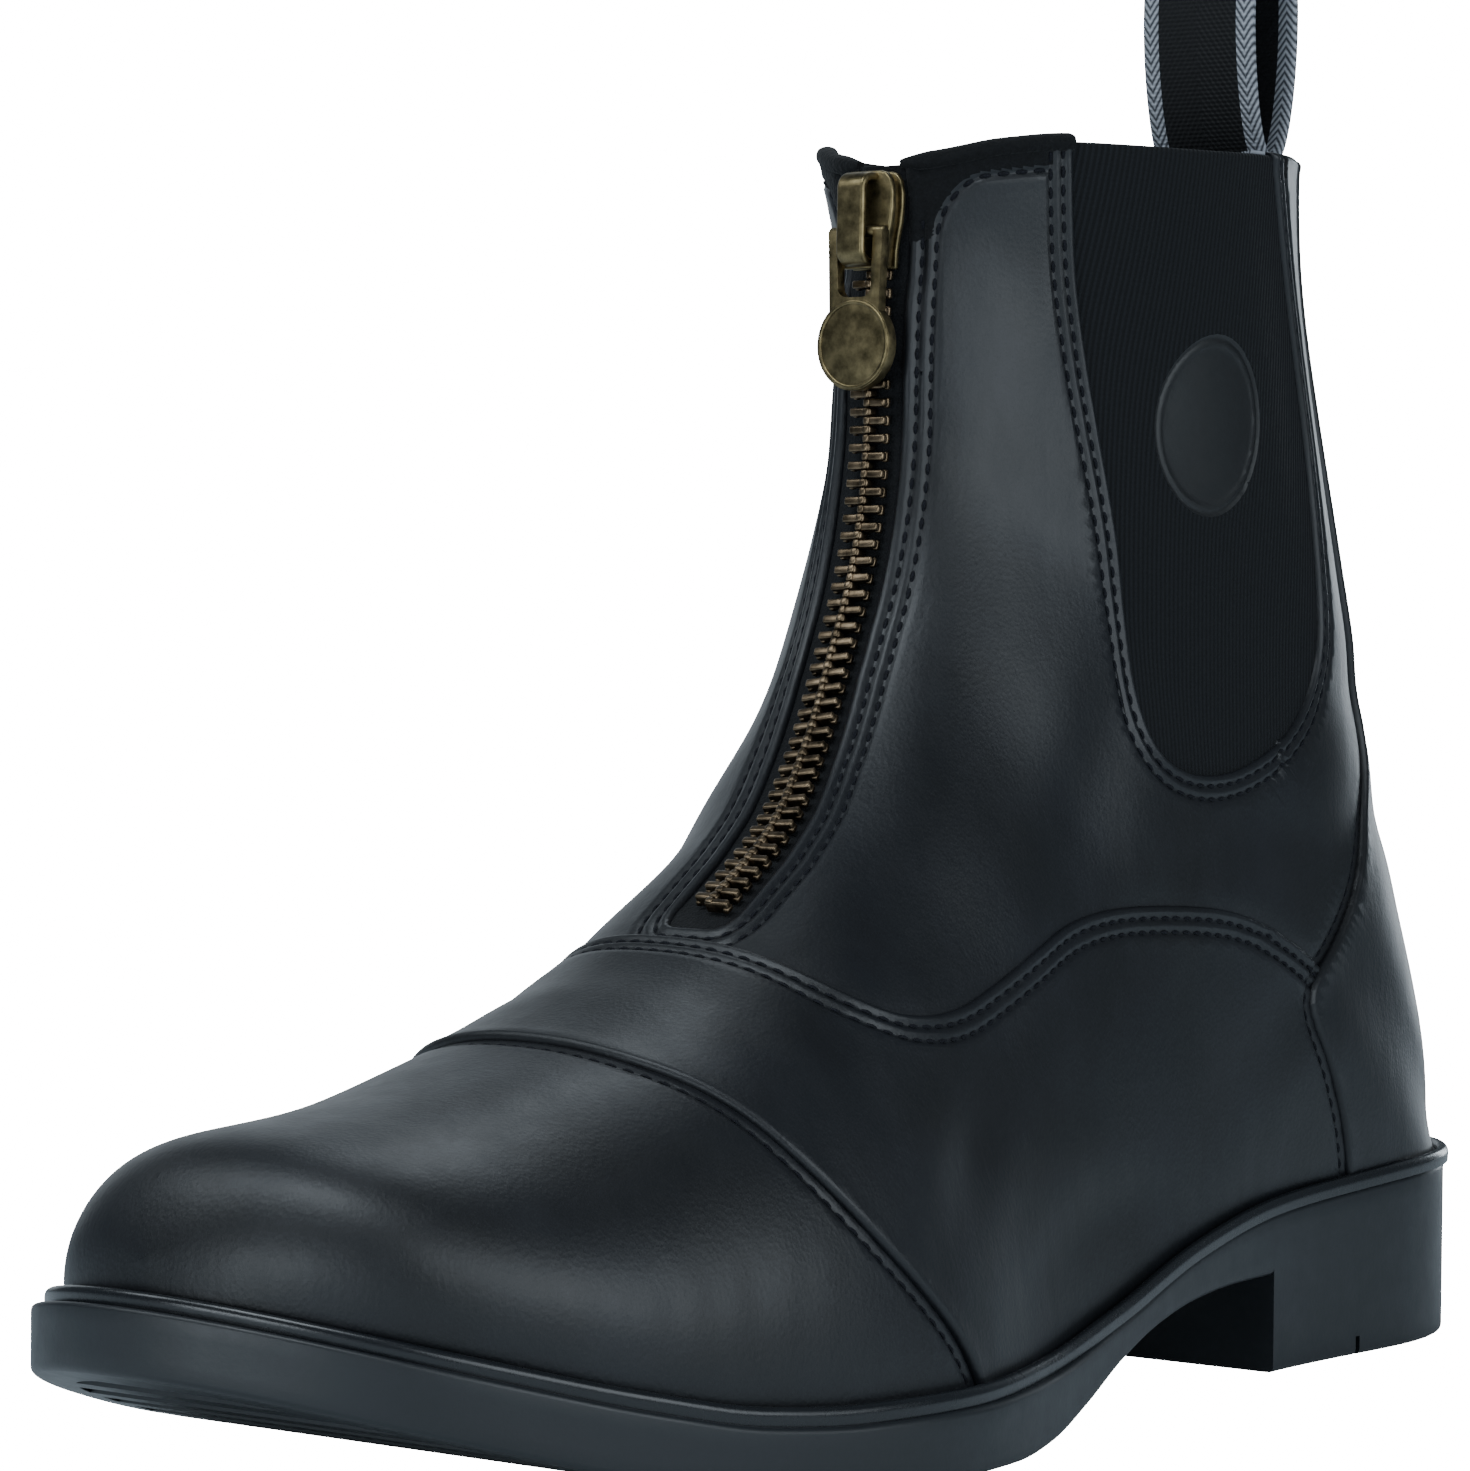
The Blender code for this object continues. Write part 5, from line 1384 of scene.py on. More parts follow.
# Sole unit
def ladder_mesh(levels, count, start=None, end=None):
    """Points and faces of a closed solid between levels, each an inset from the plan outline and a height."""
    points = []
    rings = []
    for inset, high in levels:
        line = offset_outline(inset)
        u = stations(line, count, start, end)
        lateral, medial = ladder_points(line, u, high(u))
        rings.append(len(points))
        points += list(lateral) + list(medial)
    faces = []
    for base in rings[:1] + rings[-1:]:
        for i in range(count - 1):
            faces.append([base + i, base + i + 1, base + count + i + 1, base + count + i])
    for base, after in zip(rings, rings[1:]):
        for i in range(count - 1):
            faces.append([base + i, base + i + 1, after + i + 1, after + i])
            faces.append([base + count + i, base + count + i + 1, after + count + i + 1, after + count + i])
        for i in (0, count - 1):
            faces.append([base + i, base + count + i, after + count + i, after + i])
    return points, faces


def combine(target, other, operation):
    """Applies one Boolean to target and deletes the other object."""
    modifier = target.modifiers.new("Combine", "BOOLEAN")
    modifier.operation = operation
    modifier.solver = "EXACT"
    modifier.object = other
    graph = bpy.context.evaluated_depsgraph_get()
    mesh = bpy.data.meshes.new_from_object(target.evaluated_get(graph))
    target.modifiers.clear()
    target.data = mesh
    bpy.data.objects.remove(other, do_unlink=True)
    return target


SOLE_STATIONS = 190
SOLE_EDGE = 0.9 * MM


def sole_piece():
    """The rubber unit: rings of points from the top to the bottom, and from the arch's height down the heel."""
    count = SOLE_STATIONS

    def ring_at(inset):
        line = offset_outline(inset)
        return line, stations(line, count, stop=HEEL_LENGTH)

    turns = [0.0, 0.35, 0.75, 1.15, math.pi / 2]
    edge = [(SOLE_EDGE * (1 - math.sin(t)), SOLE_EDGE * (1 - math.cos(t))) for t in turns]
    levels = []
    for inset, drop in edge:
        line, u = ring_at(inset)
        levels.append((line, u, sole_top(u) - drop))
    line, u = ring_at(0.0)
    low = sole_bottom(u) + SOLE_EDGE
    for share in (0.25, 0.5, 0.75):
        levels.append((line, u, (sole_top(u) - SOLE_EDGE) * (1 - share) + low * share))
    for inset, drop in reversed(edge):
        line, u = ring_at(inset)
        levels.append((line, u, sole_bottom(u) + drop))
    stop = int(np.argmin(abs(u - HEEL_LENGTH)))
    straight = len(edge) + 3
    line, u = ring_at(0.0)
    heel_levels = []
    for share in (0.33, 0.67):
        heel_levels.append((line, u[: stop + 1], (low * (1 - share) + SOLE_EDGE * share)[: stop + 1]))
    for inset, drop in reversed(edge):
        line, u = ring_at(inset)
        heel_levels.append((line, u[: stop + 1], drop))
    points = []

    def laid(rings):
        starts = []
        for ring_line, at, high in rings:
            lateral, medial = ladder_points(ring_line, at, high)
            starts.append(len(points))
            points.extend([*lateral, *medial])
        return starts

    base = laid(levels)
    heel = laid(heel_levels)
    faces = []
    last = len(levels) - 1
    for i in range(count - 1):
        faces.append([base[0] + i, base[0] + i + 1, base[0] + count + i + 1, base[0] + count + i])
        for upper in range(last):
            if upper >= straight and i < stop:
                continue
            for side in (0, count):
                one, two = base[upper] + side + i, base[upper + 1] + side + i
                faces.append([one, one + 1, two + 1, two])
        if i >= stop:
            one, two = base[last] + i, base[last] + count + i
            faces.append([one, one + 1, two + 1, two])
            continue
        for side in (0, 1):
            one = base[straight] + side * count + i
            two = heel[0] + side * (stop + 1) + i
            faces.append([one, one + 1, two + 1, two])
            for a, b in zip(heel, heel[1:]):
                one, two = a + side * (stop + 1) + i, b + side * (stop + 1) + i
                faces.append([one, one + 1, two + 1, two])
        faces.append([heel[-1] + i, heel[-1] + i + 1, heel[-1] + stop + 2 + i, heel[-1] + stop + 1 + i])
    breast = [base[k] + stop for k in range(last, straight - 1, -1)] + [h + stop for h in heel]
    breast += [h + stop + stop + 1 for h in reversed(heel)]
    breast += [base[k] + count + stop for k in range(straight, last + 1)]
    faces.append(breast)
    sole = mesh_object("sole_unit", points, faces, RUBBER)
    cut_tread(sole)
    middle = to_y(HEEL_NOTCH_AT)
    reach = HEEL_NOTCH_WIDTH / 2
    combine(sole, prism("notch_room", [
        (middle - reach, -1 * MM), (middle + reach, -1 * MM),
        (middle + reach, HEEL_NOTCH_DEPTH), (middle - reach, HEEL_NOTCH_DEPTH),
    ], 0, -BALL_WIDTH, BALL_WIDTH, RUBBER), "DIFFERENCE")
    sole.data.set_sharp_from_angle(angle=math.radians(38))
    return fit_out(sole, "sole_rubber", "sole")


def cut_tread(sole):
    """Takes grooves across the heel and the forepart out of the sole's bottom."""

    def bottom(u):
        return np.where(u < HEEL_LENGTH, 0.0, sole_bottom(u))

    line = offset_outline(TREAD_RIM)
    pitch = TREAD_GROOVE + TREAD_RIB
    all_points = []
    all_faces = []
    for low, high in ((line[:, 1].min() + 1.0 * MM, HEEL_LENGTH - TREAD_RIM),
                      (0.600 * SOLE_LENGTH, line[:, 1].max() - 1.0 * MM)):
        grooves = max(1, int((high - low + TREAD_RIB) / pitch))
        first = (low + high - grooves * pitch + TREAD_RIB) / 2
        for k in range(grooves):
            start = first + k * pitch
            points, faces = ladder_mesh([
                (TREAD_RIM, lambda u: bottom(u) + TREAD_DEPTH),
                (TREAD_RIM, lambda u: bottom(u) - 2 * TREAD_DEPTH),
            ], 6, start, start + TREAD_GROOVE)
            all_faces += [[i + len(all_points) for i in face] for face in faces]
            all_points += points
    combine(sole, mesh_object("tread_room", all_points, all_faces, RUBBER), "DIFFERENCE")


def prism(name, outline, axis, low, high, material):
    """A closed prism: an outline of two coordinates, pushed along the third axis."""
    outline = np.asarray(outline)
    count = len(outline)
    points = np.zeros((2 * count, 3))
    others = [i for i in range(3) if i != axis]
    for half, value in enumerate((low, high)):
        points[half * count : (half + 1) * count, others] = outline
        points[half * count : (half + 1) * count, axis] = value
    faces = [list(range(count)), list(range(count, 2 * count))]
    faces += [[i, (i + 1) % count, (i + 1) % count + count, i + count] for i in range(count)]
    return mesh_object(name, points, faces, material, smooth=False)


def welt_piece():
    """The glossy bead on the sole's top. Round the heel it hangs over the wall as a lip."""
    profile = []
    for turn in np.linspace(-0.15, math.pi, 13):
        profile.append((0.44 - 0.50 * math.cos(turn), 0.48 + 0.52 * math.sin(turn)))
    profile = [(-0.02, 0.0)] + profile + [(1.10, 0.62), (1.50, 0.66), (1.50, 0.0)]
    points = []
    for inward, high in profile:
        line = offset_outline(WELT_WIDTH * inward + shelf(OUTLINE[:, 1]))
        z = sole_top(np.clip(line[:, 1], 0, SOLE_LENGTH)) - 0.02 * MM + WELT_HEIGHT * high
        points += list(np.stack([line[:, 0] - MIDDLE_X, to_y(line[:, 1]), z], 1))
    faces = tube_faces(len(profile), len(OUTLINE), closed=True)
    welt = mesh_object("welt_bead", points, faces, BEAD, sharp=50)
    return fit_out(welt, "sole_rubber", "welt")


def insole_finish():
    insole = bpy.data.objects["insole"]
    insole.data.materials.clear()
    insole.data.materials.append(INSOLE)


sole_piece()
welt_piece()
insole_finish()


# Zip
TAPE_IN = 0.2 * MM
CHAIN_IN = TAPE_IN + TAPE_THICKNESS + 1.5 * CLEARANCE
SLIDER_IN = CHAIN_IN + CLEARANCE
HINGE_DROP = (SLIDER_AT - HINGE_AT) * COLLAR_HEIGHT
HINGE_RISE = SLIDER_HEIGHT + TAB_PLAY + TAB_THICKNESS / 2
CROWN_ROOM = TAB_THICKNESS + 2 * TAB_PLAY


def tape_piece():
    patch = keep(SURFACE, ZIP, 2.5 * MM, -1)
    patch = keep(patch, COLLAR, 1.0 * MM, 1)
    table = patch[0]
    high = np.full(len(table), TAPE_IN + TAPE_THICKNESS)
    item = panel("zip_tape_cloth", patch, high, TAPE_IN, TAPE)
    return fit_out(item, "zip_tape", "zip_tape")


def block(size, edge, middle=(0, 0, 0), cuts=2):
    """Points and faces of a box with rounded edges."""
    build = bmesh.new()
    bmesh.ops.create_cube(build, size=1.0)
    for vert in build.verts:
        vert.co = Vector([vert.co[k] * size[k] + middle[k] for k in range(3)])
    bmesh.ops.bevel(build, geom=build.edges[:], offset=edge, segments=cuts, affect="EDGES", profile=0.5)
    build.verts.index_update()
    points = np.array([tuple(vert.co) for vert in build.verts])
    faces = [[vert.index for vert in face.verts] for face in build.faces]
    build.free()
    return points, faces


def stamped(name, shapes, frames, material, sharp=None):
    """One mesh of many copies: shapes are points and faces, frames are (shape number, place, three axes)."""
    points = []
    faces = []
    total = 0
    for number, place, axes in frames:
        base, rings = shapes[number]
        points.append(base @ np.asarray(axes) + place)
        faces += [[i + total for i in ring] for ring in rings]
        total += len(base)
    return mesh_object(name, np.concatenate(points), faces, material, sharp=sharp)


def teeth_piece():
    """Single teeth, turn about from each side, with a bright hook at the inner end."""
    top = SLIDER_AT * COLLAR_HEIGHT - SLIDER_LENGTH / 2 - CLEARANCE
    low = ZIP_LOW * COLLAR_HEIGHT + 1.2 * MM
    fine = np.linspace(top, low, 500)
    centre = zip_frame(fine, CHAIN_IN)[0]
    run = run_along(centre)
    count = int(run[-1] / (TOOTH_PITCH / 2))
    at = (np.arange(count) + 0.5) * (TOOTH_PITCH / 2)
    centre, sideways, down, out = zip_frame(np.interp(at, run, fine), CHAIN_IN)
    inner = -0.65 * MM
    outer = CHAIN_WIDTH / 2 - 0.15 * MM
    bar_at = ((outer + inner) / 2, 0, CHAIN_HEIGHT / 2)
    bar = block((outer - inner, 1.22 * MM, CHAIN_HEIGHT), 0.30 * MM, bar_at, 3)
    hook = block((1.05 * MM, 1.20 * MM, 0.55 * MM), 0.24 * MM, (0.05 * MM, 0, CHAIN_HEIGHT), 2)
    grip_at = (outer - 0.4 * MM, 0, CHAIN_HEIGHT * 0.25)
    grip = block((0.9 * MM, 1.55 * MM, CHAIN_HEIGHT * 0.5), 0.25 * MM, grip_at, 2)
    frames = []
    for i in range(count):
        side = 1 if i % 2 else -1
        axes = [sideways[i] * side, down[i], out[i]]
        for number in range(3):
            frames.append((number, centre[i], axes))
    item = stamped("zip_teeth_row", [bar, hook, grip], frames, TEETH, sharp=60)
    return fit_out(item, "antique_brass", "zip_teeth")


def local_place(item, matrix):
    item.data.transform(matrix)
    cleaned(item.data, smooth=None)


def bevelled(item, width, segments=3, angle=35):
    modifier = item.modifiers.new("Bevel", "BEVEL")
    modifier.width = width
    modifier.segments = segments
    modifier.limit_method = "ANGLE"
    modifier.angle_limit = math.radians(angle)
    graph = bpy.context.evaluated_depsgraph_get()
    mesh = bpy.data.meshes.new_from_object(item.evaluated_get(graph))
    item.modifiers.clear()
    item.data = mesh
    for face in item.data.polygons:
        face.use_smooth = True
    item.data.set_sharp_from_angle(angle=math.radians(40))
    return item


def slider_piece():
    half_wide = SLIDER_WIDTH / 2
    half_long = SLIDER_LENGTH / 2
    matrix = local_matrix(SLIDER_AT * COLLAR_HEIGHT, SLIDER_IN)
    table = [(0.78, 1.0), (0.80, 0.62), (0.86, 0.35), (0.955, 0.05), (1.0, -0.25), (1.0, -0.55), (0.93, -0.82),
             (0.76, -0.96), (0.55, -1.0)]
    right = [(wide * half_wide, long * half_long) for wide, long in table]
    outline = right + [(-x, y) for x, y in reversed(right)]
    plate = 1.15 * MM
    top_plate = prism("slider_top", outline, 2, SLIDER_HEIGHT - plate, SLIDER_HEIGHT, BRASS)
    low_plate = prism("slider_low", outline, 2, 0.0, 0.9 * MM, BRASS)
    inner = [(x * 0.86, y * 0.97) for x, y in outline]
    core = prism("slider_core", inner, 2, 0.8 * MM, SLIDER_HEIGHT - plate + 0.1 * MM, BRASS)
    parts = [bevelled(top_plate, 0.34 * MM), bevelled(low_plate, 0.25 * MM), core]
    room = SLIDER_HEIGHT + CROWN_ROOM
    top = room + CROWN_THICKNESS
    long = half_long * 0.96
    bend = 2.4 * MM
    low = SLIDER_HEIGHT - 0.4 * MM

    def arch(reach, high, radius):
        line = [(-reach, low)]
        for t in np.linspace(0, math.pi / 2, 8):
            line.append((-reach + radius * (1 - math.cos(t)), high - radius * (1 - math.sin(t))))
        for t in np.linspace(math.pi / 2, 0, 8):
            line.append((reach - radius * (1 - math.cos(t)), high - radius * (1 - math.sin(t))))
        return line + [(reach, low)]

    outer = arch(long, top, bend)
    hollow = arch(long - CROWN_THICKNESS, room, bend - CROWN_THICKNESS * 0.8)
    crown = prism("slider_crown", outer + hollow[::-1], 0, -CROWN_WIDTH / 2, CROWN_WIDTH / 2, BRASS)
    parts.append(bevelled(crown, 0.5 * MM, 4, 50))
    whole = joined("slider_body", parts, BRASS)
    local_place(whole, matrix)
    return fit_out(whole, "antique_brass", "zip_slider")


def joined(name, parts, material):
    """One piece out of several, with their shading kept."""
    build = bmesh.new()
    for part in parts:
        build.from_mesh(part.data)
        bpy.data.objects.remove(part, do_unlink=True)
    mesh = bpy.data.meshes.new(name)
    build.to_mesh(mesh)
    build.free()
    mesh.materials.append(material)
    for face in mesh.polygons:
        face.material_index = 0
    return put(name, mesh)


def ring(radius, tube, high, squash=1.0):
    """Points and faces of a ring that lies round the local origin."""
    points = []
    count, sides = 72, 12
    for i in range(count):
        a = 2 * math.pi * i / count
        for j in range(sides):
            b = 2 * math.pi * j / sides
            reach = radius + tube * math.cos(b)
            rise = high + squash * tube * math.sin(b)
            points.append((reach * math.cos(a), TAB_REACH + reach * math.sin(a), rise))
    return np.array(points), tube_faces(count, sides, closed=True)


def tab_piece():
    """Pull tab: a frame with a plain rimmed disc, hung from a bar through the slider's crown."""
    arm = 1.7 * MM
    half = TAB_WIDTH / 2
    radius = DISC_DIAMETER / 2
    plate = prism("tab_plate", [(-half, -0.2 * MM), (half, -0.2 * MM), (half * 0.88, TAB_REACH),
                                (-half * 0.88, TAB_REACH)], 2, -TAB_THICKNESS / 2, TAB_THICKNESS / 2, BRASS)
    window = TAB_REACH - radius - 0.2 * MM
    hole = []
    corner = 1.6 * MM
    for x, y, start in ((half - arm, window, 0), (-half + arm, window, 1), (-half + arm, -3 * MM, 2),
                        (half - arm, -3 * MM, 3)):
        x = x * (0.92 if y > 0 else 1.0)
        for t in np.linspace(0, math.pi / 2, 5):
            turn = t + start * math.pi / 2
            hole.append((x - corner * (math.copysign(1, x) - math.cos(turn)),
                         y - corner * (math.copysign(1, y) - math.sin(turn))))
    combine(plate, prism("tab_hole", hole, 2, -TAB_THICKNESS, TAB_THICKNESS, BRASS), "DIFFERENCE")
    turn = np.linspace(0, 2 * math.pi, 72, endpoint=False)
    disc = prism("tab_disc", np.stack([radius * np.cos(turn), TAB_REACH + radius * np.sin(turn)], 1), 2,
                 -TAB_THICKNESS / 2 - 0.05 * MM, TAB_THICKNESS / 2 + 0.05 * MM, BRASS)
    combine(plate, disc, "UNION")
    bevelled(plate, 0.28 * MM, 3, 50)
    bar_turn = np.linspace(0, 2 * math.pi, 24, endpoint=False)
    bar = TAB_THICKNESS / 2
    rod = prism("tab_bar", np.stack([bar * np.cos(bar_turn), bar * np.sin(bar_turn)], 1), 0, -half * 0.99,
                half * 0.99, BRASS)
    bevelled(rod, 0.2 * MM, 2, 60)
    parts = [plate, rod]
    for side in (1, -1):
        points, faces = ring(radius - 0.5 * MM, 0.34 * MM, side * (TAB_THICKNESS / 2 + 0.04 * MM), 0.6)
        parts.append(mesh_object("tab_rim", points, faces, BRASS))
    whole = joined("tab_body", parts, BRASS)
    matrix = local_matrix(SLIDER_AT * COLLAR_HEIGHT, SLIDER_IN)
    local_place(whole, matrix @ Matrix.Translation((0, HINGE_DROP, HINGE_RISE)))
    return fit_out(whole, "antique_brass", "pull_tab", body="pull_tab")


tape_piece()
teeth_piece()
slider_piece()
tab_piece()


# Pull loop
def loop_tail(points, uvs, faces, foot):
    """Adds the part of the loop that is sewn down inside the collar, both ends of it as one plate."""
    half = WEBBING_WIDTH / 2
    rows = np.linspace(PIVOT_ROW + 2, LAST_ROW, 60)
    heights = np.linspace(foot - LOOP_TAIL, foot + 2.0 * MM, 16)
    xs = -MIDDLE_X + np.linspace(-half, half, 25)
    across = np.concatenate([np.linspace(-1, -0.55, 60), np.linspace(0.55, 1, 60)])
    start = len(points)
    grids = []
    for depth in (-1.5 * CLEARANCE, -1.5 * CLEARANCE - 2 * WEBBING_THICKNESS):
        cloud = upper_points(rows[:, None], across[None, :], depth)
        grid = np.zeros((len(heights), len(xs), 3))
        lines = np.zeros((len(heights), len(across), 3))
        for j in range(len(across)):
            column = cloud[np.argsort(cloud[:, j, 2]), j]
            lines[:, j] = read_off(heights, column[:, 2], column)
        for i in range(len(heights)):
            order = np.argsort(lines[i, :, 0])
            grid[i, :, 0] = xs
            grid[i, :, 1] = np.interp(xs, lines[i, order, 0], lines[i, order, 1])
            grid[i, :, 2] = heights[i]
        grids.append(grid)
    for grid in grids:
        for i in range(len(heights)):
            for j in range(len(xs)):
                points.append(tuple(grid[i, j]))
                uvs.append((j / (len(xs) - 1), heights[i] / 0.1))
    size = len(heights) * len(xs)
    for i in range(len(heights) - 1):
        for j in range(len(xs) - 1):
            one = start + i * len(xs) + j
            quad = [one, one + 1, one + 1 + len(xs), one + len(xs)]
            faces.append(quad)
            faces.append([k + size for k in reversed(quad)])
    rim = [j for j in range(len(xs))] + [(i + 1) * len(xs) - 1 for i in range(1, len(heights))]
    rim += [size - 1 - j for j in range(1, len(xs))] + [i * len(xs) for i in range(len(heights) - 2, 0, -1)]
    for k, one in enumerate(rim):
        two = rim[(k + 1) % len(rim)]
        faces.append([start + one, start + one + size, start + two + size, start + two])


def loop_piece():
    """The webbing loop: a flat oval band that stands over the collar at the back, and its sewn tail."""
    back = float(upper_points(LAST_ROW - 1.0, 1.0, 0.0)[1])
    foot = float(collar_high(0.15)) * COLLAR_HEIGHT
    middle = back - CLEARANCE - 2.0 * MM
    rise = LOOP_HEIGHT / 2
    turn = np.linspace(0, 2 * math.pi, 181)

    def oval(grow):
        z = foot + rise + (rise + grow - WEBBING_THICKNESS) * np.cos(turn)
        low = (1 - np.cos(turn)) / 2
        bulge = np.abs(np.sin(turn)) ** 0.85 * np.sign(np.sin(turn))
        wide = (LOOP_GAP / 2 + grow) * bulge * (1 - 0.30 * low)
        return np.stack([middle + wide, z], 1)

    outer, inner = oval(WEBBING_THICKNESS), oval(0.0)
    run = run_along(outer)
    half = WEBBING_WIDTH / 2
    soft = 0.5 * MM
    shares = [0.0, 0.012, 0.035, 0.07]
    shares += list(np.linspace(0.12, 0.88, 20)) + [0.93, 0.965, 0.988, 1.0]
    points = []
    uvs = []
    for i in range(len(turn) - 1):
        for layer in (0, 1):
            for share in shares:
                x = -MIDDLE_X - half + WEBBING_WIDTH * share
                from_edge = min(share, 1 - share) * WEBBING_WIDTH
                thin = 0.30 * max(0.0, 1 - from_edge / soft) ** 2
                ridge = 0.10 * math.exp(-(((from_edge - WEBBING_EDGE) / (0.4 * MM)) ** 2))
                pick = thin + ridge if layer == 0 else 1 - thin - ridge
                y, z = outer[i] * (1 - pick) + inner[i] * pick
                sway = 0.5 * MM * math.sin(turn[i] * 2 + share * 3)
                points.append((x, y + sway * (1 - (z - foot) / LOOP_HEIGHT) * 0.2, z))
                uvs.append((share, run[i] / 0.1))
    wide = len(shares)
    per = 2 * wide
    count = len(turn) - 1
    faces = []
    for i in range(count):
        one, two = i * per, (i + 1) % count * per
        for k in range(wide - 1):
            faces.append([one + k, one + k + 1, two + k + 1, two + k])
            faces.append([one + wide + k, two + wide + k, two + wide + k + 1, one + wide + k + 1])
        faces.append([one, two, two + wide, one + wide])
        faces.append([one + wide - 1, one + per - 1, two + per - 1, two + wide - 1])
    loop_tail(points, uvs, faces, foot)
    mesh = bpy.data.meshes.new("loop_band")
    mesh.from_pydata([tuple(map(float, point)) for point in points], [], faces)
    mesh.materials.append(WEBBING)
    lay_out(mesh, uvs)
    cleaned(mesh)
    mesh.set_sharp_from_angle(angle=math.radians(50))
    return fit_out(put("loop_band", mesh), "webbing", "pull_loop")


loop_piece()


# Cloth binding on the collar's front, from the zip back to the gore on each side
def binding_piece(side):
    rows = np.linspace(PIVOT_ROW - 1, LAST_ROW, 120)
    across = side * np.linspace(0.0, 0.75, 300)
    line = []
    normals = []
    for a in across:
        cloud = upper_points(rows, a, 0.95 * MM)
        station = (SOLE_LENGTH / 2 - cloud[:, 1]) / SOLE_LENGTH
        lift = COLLAR_HEIGHT * collar_high(station) - 0.75 * MM - cloud[:, 2]
        at = float(np.interp(0, lift[::-1], rows[::-1]))
        point = upper_points(at, a, 0.95 * MM)
        line.append(point)
        normals.append(upper_points(at, a, 1.95 * MM) - point)
    line = np.array(line).reshape(-1, 3)
    normals = np.array(normals).reshape(-1, 3)
    slot = ZIP_SLOT_WIDTH / 2 - 1.6 * MM
    gore = smooth_line(GORE_EDGE, SEAM_POINTS)[:50]
    order = np.argsort(gore[:, 1])
    edge = np.interp(line[:, 2], gore[order, 1], gore[order, 0])
    use = (abs(line[:, 0] + MIDDLE_X) > slot) & (line[:, 1] < edge - 0.1 * MM)
    line, normals = line[use], normals[use]
    run = run_along(line)
    at = np.linspace(0, run[-1], 90)
    line = read_off(at, run, line)
    normals = read_off(at, run, normals)
    normals /= np.linalg.norm(normals, axis=1)[:, None]
    ahead = np.gradient(line, axis=0)
    ahead /= np.linalg.norm(ahead, axis=1)[:, None]
    up = np.cross(normals, ahead)
    up *= np.sign(up[:, 2])[:, None]
    sides = 20
    turn = np.linspace(0, 2 * math.pi, sides, endpoint=False)
    points = []
    for i in range(len(line)):
        grow = 1 - 0.55 * max(0, 1 - i / 16) ** 1.5 - 0.2 * max(0, 1 - (len(line) - 1 - i) / 3) ** 2
        for t in turn:
            reach = 1.50 * MM * grow * math.copysign(abs(math.cos(t)) ** 0.8, math.cos(t))
            high = 1.45 * MM * grow * math.sin(t)
            points.append(line[i] + normals[i] * reach + up[i] * high)
    faces = tube_faces(len(line), sides)
    faces.append(list(range(sides)))
    faces.append([(len(line) - 1) * sides + j for j in range(sides)])
    word = "lateral" if side > 0 else "medial"
    item = mesh_object("binding_" + word, points, faces, BINDING, sharp=60)
    return fit_out(item, "elastic")


binding_piece(1)
binding_piece(-1)

fit_out(thread_mesh("stitches", THREADS, THREAD), "leather")


# Stage, light and camera
GLOW = 22.0
COOL = (0.84, 0.93, 1.0)
LAMPS = [
    # name, place, aim, size, power
    ("above", (0.05, -0.55, 0.85), (0.02, -0.25, 0.0), (0.5, 0.4), 5.0),
    ("low_front", (0.02, -0.80, 0.09), (0, -0.10, 0.03), (0.45, 0.14), 1.5),
    ("back_top", (-0.27, 0.46, 0.88), (0, -0.05, 0.06), (0.4, 0.4), 1.7),
    ("left", (-0.50, -0.56, 0.72), (0, -0.08, 0.05), (0.35, 0.35), 2.0),
    ("side", (0.52, -0.08, 0.24), (0, -0.02, 0.15), (0.72, 0.28), 2.3),
    ("back", (-0.20, 1.28, 0.15), (0, 0.1, 0.12), (0.22, 0.5), 2.4),
    ("back_left", (-1.05, 0.55, 0.40), (0, -0.05, 0.06), (0.9, 0.7), 1.7),
]


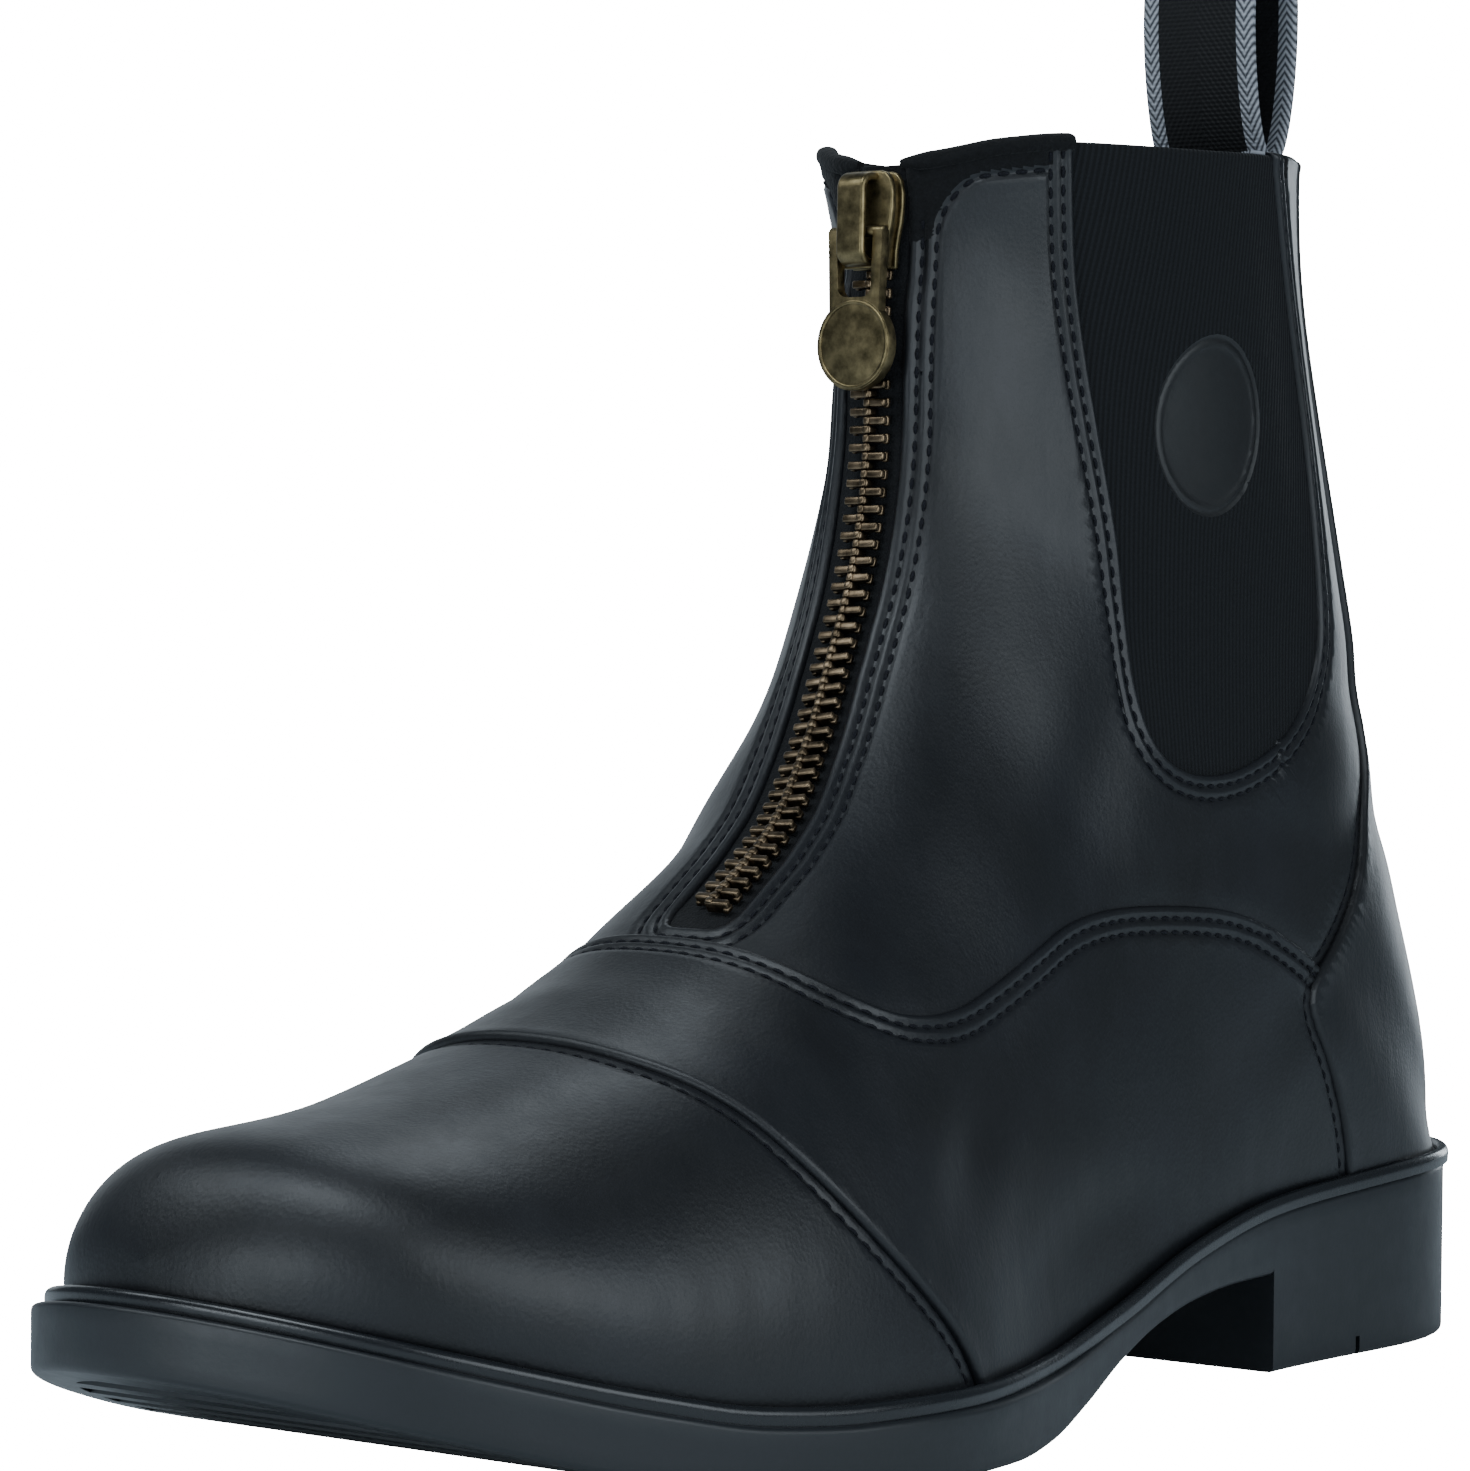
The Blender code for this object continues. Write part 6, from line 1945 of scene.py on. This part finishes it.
def stage_set():
    """A pale floor and room: bright white to the camera, dimmer for the light that falls on the object."""
    look = Look("floor_white")
    look.give("Base Color", (0.70, 0.76, 0.80, 1))
    look.give("Roughness", 0.9)
    nodes, links, shader = look.nodes, look.links, look.shader
    glow = nodes.new("ShaderNodeEmission")
    glow.inputs["Color"].default_value = (1, 1, 1, 1)
    glow.inputs["Strength"].default_value = GLOW
    both = nodes.new("ShaderNodeAddShader")
    links.new(shader.outputs["BSDF"], both.inputs[0])
    links.new(glow.outputs["Emission"], both.inputs[1])
    switch(nodes, links, shader.outputs["BSDF"], both.outputs["Shader"], nodes["Material Output"])
    corners = [(-3, -3, 0), (3, -3, 0), (3, 3, 0), (-3, 3, 0)]
    floor = mesh_object("floor", corners, [[0, 1, 2, 3]], look.material)
    world = bpy.data.worlds.new("room")
    bpy.context.scene.world = world
    world.use_nodes = True
    nodes, links = world.node_tree.nodes, world.node_tree.links
    back = nodes["Background"]
    back.inputs["Color"].default_value = (0.74, 0.88, 1.0, 1)
    back.inputs["Strength"].default_value = 0.17
    seen = nodes.new("ShaderNodeBackground")
    seen.inputs["Color"].default_value = (1.0, 1.0, 1.0, 1)
    seen.inputs["Strength"].default_value = GLOW
    switch(nodes, links, back.outputs["Background"], seen.outputs["Background"], nodes["World Output"])


def switch(nodes, links, lit, seen, output):
    """Shows the camera one thing and lights the object with another."""
    path = nodes.new("ShaderNodeLightPath")
    mix = nodes.new("ShaderNodeMixShader")
    links.new(path.outputs["Is Camera Ray"], mix.inputs["Fac"])
    links.new(lit, mix.inputs[1])
    links.new(seen, mix.inputs[2])
    links.new(mix.outputs["Shader"], output.inputs["Surface"])


def lamp(name, place, aim, size, power):
    light = bpy.data.lights.new(name, "AREA")
    light.shape = "RECTANGLE"
    light.size, light.size_y = size
    light.energy = power
    light.color = COOL
    item = put(name, light)
    item.location = place
    item.rotation_euler = (Vector(aim) - Vector(place)).to_track_quat("-Z", "Y").to_euler()
    item.visible_camera = False


# The photo's view: turns in degrees, distance in metres, and shift in pixels of its frame
CAMERA_TURNS = (38.703, 1.548, 0.564)
CAMERA_AIM = 0.095
CAMERA_AWAY = 0.798584
CAMERA_LENS = 131.96
CAMERA_SHIFT = (-106.219, 24.723)
FRAME_PIXELS = 1471


def camera_set():
    azimuth, elevation, roll = (math.radians(part) for part in CAMERA_TURNS)
    target = Vector((-MIDDLE_X, 0.0, CAMERA_AIM))
    back = Vector((math.sin(azimuth) * math.cos(elevation), -math.cos(azimuth) * math.cos(elevation),
                   math.sin(elevation)))
    right = Vector((math.cos(azimuth), math.sin(azimuth), 0))
    up = back.cross(right)
    turned = right * math.cos(roll) + up * math.sin(roll)
    up = up * math.cos(roll) - right * math.sin(roll)
    camera = bpy.data.cameras.new("camera")
    camera.sensor_width = 36
    camera.lens = CAMERA_LENS
    camera.shift_x, camera.shift_y = (part / FRAME_PIXELS for part in CAMERA_SHIFT)
    item = put("camera", camera)
    matrix = Matrix((turned, up, back)).transposed().to_4x4()
    matrix.translation = target + back * CAMERA_AWAY
    item.matrix_world = matrix
    bpy.context.scene.camera = item


stage_set()
for row in LAMPS:
    lamp(*row)
camera_set()
